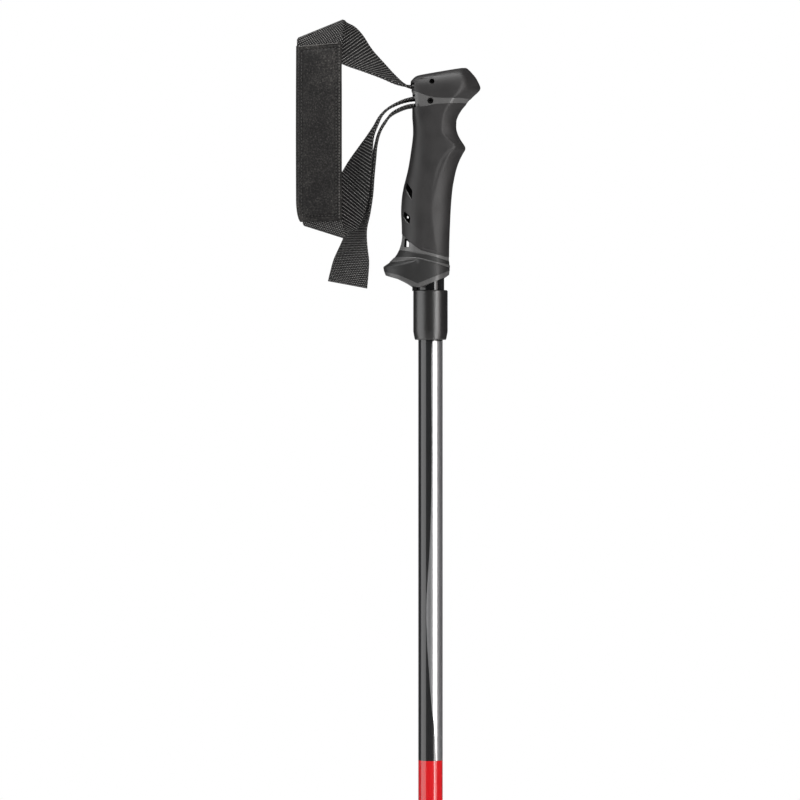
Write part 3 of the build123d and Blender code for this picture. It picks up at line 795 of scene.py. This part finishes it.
def spring_pin(name, cx, cz, r, half):
    """rolled pin: chamfered ends, open bore, a slot along its back"""
    n, gap = 44, 0.30
    ang = [gap / 2 + (2 * math.pi - gap) * i / (n - 1) - math.pi / 2 for i in range(n)]
    prof = [(r - 0.30, -half), (r, -half + 0.45), (r, half - 0.45), (r - 0.30, half), (r * 0.52, half), (r * 0.46, half - 0.3),
            (r * 0.46, -half + 0.3), (r * 0.52, -half)]
    v, f = [], []
    for a_ in ang:
        for rr, yy in prof:
            v.append((cx + rr * math.cos(a_), yy, cz + rr * math.sin(a_)))
    m_ = len(prof)
    for i in range(n - 1):
        for j in range(m_):
            f.append((i * m_ + j, i * m_ + (j + 1) % m_, (i + 1) * m_ + (j + 1) % m_, (i + 1) * m_ + j))
    f.append(tuple(range(m_)))
    f.append(tuple(range((n - 1) * m_, n * m_))[::-1])
    o = mesh_obj(name, v, f, M["pin"], 30)
    fix_normals(o)
    return o


pin_up = spring_pin("anchor_spring_pin", PU[0], PU[1], 1.6, 13.2)
pin_low = spring_pin("turn_spring_pin", PL[0], PL[1], 1.85, 14.2)
for o, node in ((pin_up, "strap_anchor_pin"), (pin_low, "strap_turn_pin")):
    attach(o, "handle")
    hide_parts(node)
for o in (grip_cap, grip_band, grip_sleeve, grip_core_base, cuff_up, ridge, cuff_panel, foot_rim):
    fix_normals(o)

carve(grip_cap, [
    ycyl("c1", PU[0], PU[1], 1.72, -22, 22),
    prism("c2", rounded([(-18, 1185.5), (2.5, 1185.5), (2.5, 1189.2), (-18, 1189.2)], 0.6), -13.0, 13.0),
])
carve(grip_band, [
    ycyl("c3", PL[0], PL[1], 2.0, -22, 22),
    prism("c4", rounded([(-18, 1173.0), (4.2, 1173.0), (4.2, 1181.6), (-18, 1181.6)], 0.6), -13.0, 13.0),
])
VENT1 = [(-15.5, 1124.5), (-11.9, 1118.9), (-12.4, 1112.8), (-16.3, 1120.4)]
VENT2 = [(-17.1, 1105.6), (-13.2, 1101.5), (-13.8, 1096.7), (-17.8, 1102.0)]
carve(grip_sleeve, [
    prism("c5a", rounded(VENT1, 0.7), -25, -3.0), prism("c5b", rounded(VENT1, 0.7), 3.0, 25),
    prism("c6a", rounded(VENT2, 0.7), -25, -3.0), prism("c6b", rounded(VENT2, 0.7), 3.0, 25),
    prism("c6c", rounded([(-15.3, 1101.2), (-14.3, 1101.0), (-14.3, 1102.6), (-15.3, 1102.9)], 0.3), -25, 25),
])
WINDOW = [(-17.3, 1081.8), (-13.9, 1081.8), (-13.7, 1087.2), (-16.9, 1087.6)]
carve(grip_core_base, [
    prism("c7a", rounded(WINDOW, 0.4), -25, -3.0), prism("c7b", rounded(WINDOW, 0.4), 3.0, 25),
    prism("c7c", rounded([(-15.7, 1082.3), (-14.1, 1082.3), (-14.0, 1086.6), (-15.6, 1086.6)], 0.3), -25, 25),
])


def vent_edge_highlight(name, pts):
    """painted highlight: a thin bead in the light core colour along the lower left edge of a vent, both sides, standing
    for the highlight that edge catches
    """
    v, f = [], []
    for sgn in (-1, 1):
        prev = None
        for k in range(15):
            t = k / 14
            a, b = np.array(pts[3]), np.array(pts[2])
            q = a + (b - a) * t + np.array([-0.25, -0.25]) * math.sin(math.pi * t)
            # surface point at this side position
            lv = np.clip((q[1] - 1052.0) / DZ, 0, NLV - 2)
            i = int(lv)
            side = GY[i] * sgn > 0
            cand = np.where(side)[0]
            j = cand[np.argmin(np.abs(GX[i][cand] - q[0]))]
            y = GY[i, j]
            nrm = NRM[i, j]
            r = 0.30 * math.sin(math.pi * (0.08 + 0.84 * t))
            base = len(v)
            for m in range(8):
                an = 2 * math.pi * m / 8
                tang = np.array([b[0] - a[0], 0, b[1] - a[1]])
                tang /= np.linalg.norm(tang)
                bi = np.cross(nrm, tang)
                v.append(np.array([q[0], y, q[1]]) + (nrm * math.cos(an) + bi * math.sin(an)) * r)
            if prev is not None:
                for m in range(8):
                    f.append((prev + m, prev + (m + 1) % 8, base + (m + 1) % 8, base + m))
            else:
                f.append(tuple(range(base, base + 8))[::-1])
            prev = base
        f.append(tuple(range(prev, prev + 8)))
    o = mesh_obj(name, np.array(v), f, M["core"], 60)
    fix_normals(o)
    return o


# painted highlights: light beads along the lower left edges of the two vents
vent_highlight_1 = vent_edge_highlight("vent_edge_highlight_upper", VENT1)
vent_highlight_2 = vent_edge_highlight("vent_edge_highlight_lower", VENT2)
foot_tab = prism("grip_foot_tab", rounded([(-11.95, 1056.9), (-8.2, 1056.9), (-9.0, 1054.2), (-11.95, 1053.5)], 0.3), -3.5, 3.5, M["cuff"])

# liner seen through the vents and the window
liner = []
for z in (1080.0, 1081.0, 1176):
    a = np.linspace(0, 2 * np.pi, 97)[:-1]
    liner.append(np.stack([10.3 * np.cos(a), 10.3 * np.sin(a), np.full(96, z)], -1))
for z in (1176, 1080.0):
    liner.append(np.stack([9.15 * np.cos(a), 9.15 * np.sin(a), np.full(96, z)], -1))
liner[0] = liner[0].copy(); liner[0][:, :2] *= 9.4 / 10.3
grip_liner = mesh_obj("grip_liner", np.concatenate(liner), ring_faces(5, 96, wrap=True), M["core"], 30)
fix_normals(grip_liner)

for o in (grip_cap, grip_band, grip_sleeve, grip_core_base, cuff_up, ridge, cuff_panel, foot_rim, vent_highlight_1, vent_highlight_2, foot_tab, grip_liner):
    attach(o, "handle")
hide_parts("head_cap")
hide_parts("hand_sleeve")
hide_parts("grip_core")
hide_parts("grip_core")
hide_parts("base_cuff")

# ------------------------------------------------------------------ strap
FOLD_R, WEB_T = 3.0, 1.5
YF, YB = -6.0, 0.0
TOP_A, TOP_B = (-87.5, 1219.2), (-56.7, 1231.7)
BOT_A, BOT_B = (-83.7, 1096.3), (-56.4, 1087.7)


def mid_y(t):
    return YF - 3.0 * math.sin(math.pi * t)


def fold(a, b, up, r_b=FOLD_R):
    """rows over a slanting fold, front layer first; each layer leaves along its own direction"""
    dx, dz = b[0] - a[0], b[1] - a[1]
    ln = math.hypot(dx, dz)
    px, pz = -dz / ln * up, dx / ln * up
    tx, tz = dx / ln, dz / ln
    slope = dz / dx * up
    rows = []
    for k in range(0, 9):
        t = math.pi * k / 8
        row = []
        for (ex, ez), r in ((a, FOLD_R), (b, r_b)):
            s = r * math.sin(t) - r - WEB_T / 2
            sh = -s * slope * (-1 if k < 4 else (1 if k > 4 else 0))
            row.append((ex + px * s + tx * sh, (YF + YB) / 2 - FOLD_R * math.cos(t), ez + pz * s + tz * sh))
        rows.append(tuple(row))
    return rows


UPPER = [
    ((-8.8, 12.7, 1187.3), (-8.8, -12.7, 1187.3)),
    ((-12.6, 12.7, 1187.9), (-13.6, -12.7, 1186.9)),
    ((-17.4, 13.0, 1190.4), (-21.6, -13.0, 1188.2)),
    ((-22.6, 13.0, 1195.2), (-31.2, -13.0, 1192.1)),
    ((-30.4, 11.8, 1203.9), (-44.4, -11.6, 1196.9)),
    ((-38.6, 9.2, 1213.4), (-56.0, -8.4, 1200.9)),
    ((-44.8, 5.6, 1222.6), (-66.6, -4.6, 1206.0)),
    ((-49.6, 2.4, 1227.3), (-75.5, -1.2, 1211.2)),
]
rows = list(UPPER)
rows += [(q, p) for p, q in reversed(fold(TOP_A, TOP_B, 1, 1.1))]
HAND = []
for t, dz, xl in ((0.12, 7.0, -87.4), (0.3, 2.0, -87.5), (0.5, 0.0, -87.5), (0.7, -1.6, -87.5), (0.85, -3.4, -87.1), (0.935, -4.4, -86.0)):
    z = 1216.0 + (1096.0 - 1216.0) * t
    rows.append(((-58.0, mid_y(t), z + dz * 0.8), (xl, mid_y(t), z - dz * 0.8)))
rows += [(q, p) for p, q in fold(BOT_A, BOT_B, -1)]
rows += [
    ((-48.7, 1.0, 1093.2), (-75.0, 1.6, 1107.9)),
    ((-44.0, -0.6, 1102.1), (-66.6, 3.6, 1119.9)),
    ((-41.2, -4.6, 1111.5), (-60.3, 8.2, 1128.9)),
    ((-39.3, -8.6, 1127.3), (-54.0, 11.4, 1139.4)),
    ((-38.4, -12.0, 1143.0), (-46.6, 13.0, 1149.3)),
    ((-37.2, -13.2, 1155.1), (-40.3, 13.4, 1157.7)),
    ((-34.4, -13.4, 1162.4), (-36.6, 13.4, 1163.3)),
    ((-32.2, -13.2, 1167.3), (-34.0, 13.2, 1168.0)),
    ((-28.0, -13.0, 1171.9), (-29.6, 13.0, 1172.9)),
    ((-21.4, -12.8, 1175.9), (-22.3, 12.8, 1176.9)),
    ((-13.6, -12.7, 1178.8), (-13.4, 12.7, 1179.4)),
    ((-8.8, -12.7, 1179.6), (-8.8, 12.7, 1179.8)),
]
TAIL = [
    ((-8.8, -12.7, 1174.9), (-8.8, 12.7, 1175.0)),
    ((-13.4, -12.7, 1174.5), (-13.4, 12.7, 1174.9)),
    ((-20.2, -12.8, 1172.2), (-20.5, 12.8, 1172.7)),
    ((-25.8, -13.2, 1168.6), (-26.5, 13.2, 1169.3)),
    ((-29.4, -13.6, 1163.3), (-31.0, 13.8, 1164.1)),
    ((-32.8, -13.2, 1157.6), (-34.2, 14.0, 1157.9)),
    ((-35.1, -12.4, 1149.8), (-36.4, 14.6, 1150.0)),
    ((-36.2, -11.4, 1139.3), (-38.6, 15.6, 1139.5)),
    ((-37.2, -9.4, 1128.3), (-41.8, 17.2, 1128.9)),
    ((-38.0, -5.4, 1116.7), (-45.6, 19.4, 1118.3)),
    ((-39.8, -1.6, 1104.2), (-50.3, 20.6, 1106.2)),
    ((-41.9, 2.0, 1093.7), (-55.0, 20.4, 1094.7)),
    ((-41.4, 4.6, 1083.2), (-59.7, 18.6, 1084.2)),
    ((-40.3, 6.6, 1073.2), (-63.9, 16.2, 1074.8)),
    ((-40.8, 8.0, 1063.8), (-66.3, 14.2, 1065.9)),
    ((-41.6, 9.0, 1055.4), (-67.6, 13.0, 1060.4)),
]


def spline3(pts, s, q):
    """Catmull-Rom through 3-D points with knots s, sampled at q"""
    pts, s = np.asarray(pts, float), np.asarray(s, float)
    m = np.zeros_like(pts)
    h = np.diff(s)[:, None]
    d = np.diff(pts, axis=0) / h
    m[1:-1] = (d[:-1] * h[1:] + d[1:] * h[:-1]) / (h[1:] + h[:-1])
    m[0], m[-1] = d[0], d[-1]
    i = np.clip(np.searchsorted(s, q) - 1, 0, len(s) - 2)
    hh = np.diff(s)[i]
    t = ((q - s[i]) / hh)[:, None]
    hh = hh[:, None]
    return ((2 * t**3 - 3 * t**2 + 1) * pts[i] + (t**3 - 2 * t**2 + t) * hh * m[i]
            + (-2 * t**3 + 3 * t**2) * pts[i + 1] + (t**3 - t**2) * hh * m[i + 1])


def band_mesh(name, rows, thick, mat, step=0.33, nx=36, rib=2.0, amp=0.14, end_round=False):
    A = np.array([r[0] for r in rows], float)
    B = np.array([r[1] for r in rows], float)
    C = (A + B) / 2
    s = np.concatenate([[0], np.cumsum(np.linalg.norm(np.diff(C, axis=0), axis=1))])
    n = int(s[-1] / step)
    q = np.linspace(0, s[-1], n)
    a, b = spline3(A, s, q), spline3(B, s, q)
    for arr in (a, b):
        for k in range(3):
            arr[:, k] = smooth1d(arr[:, k], 0.8, step)
    c = (a + b) / 2
    tang = np.gradient(c, axis=0)
    # keep the two ends where the rows put them
    nrm = np.cross(b - a, tang)
    nrm /= np.linalg.norm(nrm, axis=1, keepdims=True)
    for i in range(1, n):
        if nrm[i] @ nrm[i - 1] < 0:
            nrm[i] *= -1
    w = np.linalg.norm(b - a, axis=1).mean()
    # cross-section: flat with selvedge beads, closed loop of 2*nx points
    t = np.linspace(0, 1, nx)
    edge = np.minimum(t, 1 - t) * w
    half = thick / 2 * np.sqrt(np.clip(1 - np.clip(1 - edge / 0.55, 0, 1) ** 2, 0.02, 1))
    bead = 0.10 * np.exp(-((edge - 1.1) / 0.5) ** 2)
    ribs = amp * np.sin(2 * np.pi * q / rib)
    ribmask = np.clip(edge / 1.6, 0, 1)
    verts, uv = [], []
    for i in range(n):
        base = a[i] + (b[i] - a[i]) * t[:, None]
        top = base + nrm[i] * (half + bead + ribs[i] * ribmask)[:, None]
        bot = base - nrm[i] * (half + bead - ribs[i] * ribmask * 0.999)[:, None]
        bot = base - nrm[i] * (half + bead + ribs[i] * ribmask)[:, None]
        verts.append(np.concatenate([top, bot[::-1]]))
        uu = np.concatenate([t * w, (t * w)[::-1] + 200.0])
        uv.append(np.stack([uu, np.full(2 * nx, q[i])], -1))
    v = np.concatenate(verts)
    uvs = np.concatenate(uv)
    m = 2 * nx
    f = ring_faces(n, m)
    f.append(tuple(range(m))[::-1])
    f.append(tuple(range((n - 1) * m, n * m)))
    o = mesh_obj(name, v, f, mat, 60, uvs)
    fix_normals(o)
    area = float(np.sum(np.linalg.norm((b - a)[:-1], axis=1) * np.linalg.norm(np.diff(c, axis=0), axis=1)))
    return o, w, float(s[-1]), area


strap_web, web_w, web_l, web_area = band_mesh("strap_webbing_cloth", rows, WEB_T, M["webbing"])
strap_tail, tail_w, tail_l, tail_area = band_mesh("strap_tail_cloth", TAIL, WEB_T, M["tail"], amp=0.09)

# hand pad: crowned, with a sewn border channel
PX0, PX1 = -88.0, -58.1
PZ_T = (1213.6, 1216.4)   # top edge, left and right
PZ_B = (1098.4, 1099.2)   # bottom edge, left and right
nxp, nzp = 61, 221


def pad_front(u, v):
    """front surface offset of the pad in mm; u across 0..1, v along 0..1"""
    wmm, lmm = 29.9, 116.0
    du = np.minimum(u, 1 - u) * wmm
    dv = np.minimum(v, 1 - v) * lmm
    d = np.minimum(du, dv)
    body = 2.3 * np.sqrt(np.clip(1 - np.clip(1 - (d - 3.9) / 5.5, 0, 1) ** 2, 0, 1))
    border = 1.25 * np.sqrt(np.clip(1 - np.clip(1 - d / 1.0, 0, 1) ** 2, 0, 1))
    chan = -0.55 * np.exp(-((d - 3.7) / 0.5) ** 2)
    chan2 = -0.22 * np.exp(-((d - 1.7) / 0.35) ** 2)
    return np.where(d > 3.9, border + body * 0.55, border) + chan + chan2


pad_v, pad_f = [], []
U = np.linspace(0, 1, nxp)
V = np.linspace(0, 1, nzp)
rng = np.random.RandomState(7)
ph = rng.rand(6) * 6.28
for layer in (0, 1):
    for vv in V:
        zt_l, zt_r = PZ_T
        zb_l, zb_r = PZ_B
        y0 = mid_y(0.02 + 0.96 * vv) - WEB_T / 2 - 0.15
        for uu in U:
            z = (zt_l + (zt_r - zt_l) * uu) * (1 - vv) + (zb_l + (zb_r - zb_l) * uu) * vv
            x = PX0 + (PX1 - PX0) * uu
            # slight sag in the side edges, rounded lower left corner
            x += 0.35 * math.sin(math.pi * vv) * (0.5 - uu) * -0.5
            db = (1 - vv) * 116.0
            if db < 15.0:
                x += 3.4 * (1 - math.sqrt(1 - (1 - db / 15.0) ** 2 * 0.98)) * (1 - uu) ** 1.5
            if layer == 0:
                wav = 0.10 * math.sin(9 * vv * 6.28 + ph[0] + 2 * uu) * math.sin(3.1 * uu) + 0.07 * math.sin(21 * vv + ph[1] + 5 * uu)
                y = y0 - float(pad_front(np.array(uu), np.array(vv))) - wav * 0.8 - 0.1
            else:
                y = y0
            pad_v.append((x, y, z))
npl = nxp * nzp
for i in range(nzp - 1):
    for j in range(nxp - 1):
        a = i * nxp + j
        pad_f.append((a, a + 1, a + nxp + 1, a + nxp))
        pad_f.append((npl + a, npl + a + nxp, npl + a + nxp + 1, npl + a + 1))
for i in range(nzp - 1):
    for j in (0, nxp - 1):
        a = i * nxp + j
        q4 = (a, a + nxp, npl + a + nxp, npl + a)
        pad_f.append(q4 if j == 0 else q4[::-1])
for j in range(nxp - 1):
    for i in (0, nzp - 1):
        a = i * nxp + j
        q4 = (a + 1, a, npl + a, npl + a + 1)
        pad_f.append(q4 if i == 0 else q4[::-1])
hand_pad = mesh_obj("strap_hand_pad", pad_v, pad_f, M["pad"], 70)
fix_normals(hand_pad)
pad_arr = np.array(pad_v[:npl]).reshape(nzp, nxp, 3)


def pad_point(u, v):
    i = min(max(v * (nzp - 1), 0), nzp - 1.001)
    j = min(max(u * (nxp - 1), 0), nxp - 1.001)
    i0, j0 = int(i), int(j)
    fi, fj = i - i0, j - j0
    p = (pad_arr[i0, j0] * (1 - fi) * (1 - fj) + pad_arr[i0 + 1, j0] * fi * (1 - fj)
         + pad_arr[i0, j0 + 1] * (1 - fi) * fj + pad_arr[i0 + 1, j0 + 1] * fi * fj)
    return p


def stitches(name, path, length, gap, r, mat, lift=0.1):
    """short rounded stitches along a path of (u, v) on the pad"""
    pts = [pad_point(u, v) for u, v in path]
    pts = np.array(pts)
    s = np.concatenate([[0], np.cumsum(np.linalg.norm(np.diff(pts, axis=0), axis=1))])
    v, f = [], []
    pos = 0.8
    while pos + length < s[-1]:
        prev = None
        for k in range(7):
            t = k / 6
            q = pos + length * t
            c = np.array([np.interp(q, s, pts[:, d]) for d in range(3)])
            c2 = np.array([np.interp(q + 0.1, s, pts[:, d]) for d in range(3)])
            tg = c2 - c
            tg /= np.linalg.norm(tg) + 1e-9
            up = np.array([0, -1.0, 0])
            bi = np.cross(tg, up)
            bi /= np.linalg.norm(bi) + 1e-9
            rr = r * math.sqrt(max(0.05, 1 - (2 * t - 1) ** 4))
            c = c + up * (lift + 0.12 * math.sin(math.pi * t))
            base = len(v)
            for m in range(8):
                an = 2 * math.pi * m / 8
                v.append(c + (up * math.cos(an) + bi * math.sin(an)) * rr)
            if prev is not None:
                for m in range(8):
                    f.append((prev + m, prev + (m + 1) % 8, base + (m + 1) % 8, base + m))
            else:
                f.append(tuple(range(base, base + 8))[::-1])
            prev = base
        f.append(tuple(range(prev, prev + 8)))
        pos += length + gap
    o = mesh_obj(name, np.array(v), f, mat, 60)
    fix_normals(o)
    return o


ul, ur = 3.7 / 29.9, 1 - 3.7 / 29.9
vt, vb = 3.7 / 116, 1 - 3.7 / 116
n_ = 60
loop = [(ul, vt + (vb - vt) * k / n_) for k in range(n_ + 1)] + [(ul + (ur - ul) * k / 20, vb) for k in range(1, 21)]
loop += [(ur, vb + (vt - vb) * k / n_) for k in range(1, n_ + 1)] + [(ur + (ul - ur) * k / 20, vt) for k in range(1, 21)]
st_inner = stitches("strap_pad_stitches", loop, 1.5, 0.75, 0.21, M["thread"], 0.22)
ue = 1 - 1.7 / 29.9
st_outer = stitches("strap_pad_edge_stitches", [(ue, 0.012 + 0.976 * k / 80) for k in range(81)], 1.3, 0.6, 0.17, M["piping"], 0.08)
ue2 = 1.6 / 29.9
st_left = stitches("strap_pad_left_stitches", [(ue2, 0.012 + 0.93 * k / 80) for k in range(81)], 1.3, 0.6, 0.15, M["thread"], 0.08)
pip_top = stitches("strap_pad_top_piping", [(0.03 + 0.93 * k / 40, 0.006) for k in range(41)], 1.1, 0.15, 0.20, M["piping"], 0.05)

for o in (hand_pad, st_inner, st_outer, st_left, pip_top):
    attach(o, "strap")
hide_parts("strap_pad")
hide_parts("strap_webbing")
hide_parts("strap_tail")
for o in (strap_web, strap_tail):
    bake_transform(o)

# ------------------------------------------------------------------ CAD nodes that stay
for node, mat in {
    "locking_wedge": "nylon", "upper_tube": "tube",
    "tube_plug": "nylon", "clamp_sleeve": "nylon", "collet": "nylon", "lock_collar": "collar", "wiper_ring": "seal",
    "end_ring": "aluminium", "guide_bush": "nylon", "shaft_tube": "shaft", "tip_ferrule": "tip", "tip_holder": "steel",
    "carbide_tip": "carbide", "basket": "tip",
}.items():
    paint(N[node], M[mat])
    N[node].data.shade_smooth()
    N[node].data.set_sharp_from_angle(angle=math.radians(30))


# the two short turns of webbing inside the head are hidden, so they take the plain tape
for node in ("strap_anchor_eye", "strap_turn_loop"):
    paint(N[node], M["binding"])

# ------------------------------------------------------------------ stage and light
floor = bpy.data.meshes.new("floor")
floor.from_pydata([(-6, -6, -0.0005), (6, -6, -0.0005), (6, 6, -0.0005), (-6, 6, -0.0005)], [], [(0, 1, 2, 3)])
floor_o = bpy.data.objects.new("floor", floor)
scene.collection.objects.link(floor_o)
fm, fnt, fb = new_mat("stage_floor")
fb.inputs["Base Color"].default_value = (0.85, 0.85, 0.85, 1)
fb.inputs["Roughness"].default_value = 0.9
f_em = fnt.nodes.new("ShaderNodeEmission")
f_em.inputs["Color"].default_value = (1, 1, 1, 1)
f_em.inputs["Strength"].default_value = 0.62
f_add = fnt.nodes.new("ShaderNodeAddShader")
f_mix = fnt.nodes.new("ShaderNodeMixShader")
f_lp = fnt.nodes.new("ShaderNodeLightPath")
f_out = [n for n in fnt.nodes if n.type == "OUTPUT_MATERIAL"][0]
fnt.links.new(fb.outputs[0], f_add.inputs[0])
fnt.links.new(f_em.outputs[0], f_add.inputs[1])
fnt.links.new(f_lp.outputs["Is Camera Ray"], f_mix.inputs[0])
fnt.links.new(fb.outputs[0], f_mix.inputs[1])
fnt.links.new(f_add.outputs[0], f_mix.inputs[2])
fnt.links.new(f_mix.outputs[0], f_out.inputs[0])
floor.materials.append(fm)


def area(name, loc, target, sx, sy, power, color=(1, 1, 1)):
    l = bpy.data.lights.new(name, "AREA")
    l.shape = "RECTANGLE"
    l.size, l.size_y = sx, sy
    l.energy = power
    l.color = color
    o = bpy.data.objects.new(name, l)
    scene.collection.objects.link(o)
    o.location = loc
    d = Vector(target) - Vector(loc)
    o.rotation_euler = d.to_track_quat("-Z", "Y").to_euler()
    return o


HC = 0.98
area("soft_left", (-1.82, -0.58, HC + 0.1), (0, 0, HC), 2.0, 2.6, 39)
area("strip_core", (0.99, -1.26, HC), (0, 0, HC), 0.30, 2.6, 25)
area("strip_wide", (1.25, -1.00, HC), (0, 0, HC), 0.46, 2.6, 15, (1.0, 0.95, 0.93))
area("top_soft", (-0.2, -0.5, 2.6), (0, 0, 1.15), 1.1, 1.1, 34)
# behind the pole: fill for its far side, kept out of the edge reflections
for nm, loc, w_l, p_l in (("back_left", (-1.3, 1.6, HC + 0.2), 1.3, 26), ("back_right", (1.3, 1.7, HC + 0.2), 1.0, 18)):
    lo = area(nm, loc, (0, 0, HC), w_l, 2.4, p_l)
    lo.visible_glossy = False

world = bpy.data.worlds.new("studio")
scene.world = world
world.use_nodes = True
wn = world.node_tree
for n in list(wn.nodes):
    wn.nodes.remove(n)
wo = wn.nodes.new("ShaderNodeOutputWorld")
mixs = wn.nodes.new("ShaderNodeMixShader")
lp = wn.nodes.new("ShaderNodeLightPath")
bg1 = wn.nodes.new("ShaderNodeBackground")
bg2 = wn.nodes.new("ShaderNodeBackground")
bg1.inputs["Color"].default_value = (0.9, 0.93, 1.0, 1)
bg1.inputs["Strength"].default_value = 0.06
bg2.inputs["Color"].default_value = (1, 1, 1, 1)
bg2.inputs["Strength"].default_value = 1.0
wn.links.new(lp.outputs["Is Camera Ray"], mixs.inputs[0])
wn.links.new(bg1.outputs[0], mixs.inputs[1])
wn.links.new(bg2.outputs[0], mixs.inputs[2])
wn.links.new(mixs.outputs[0], wo.inputs[0])
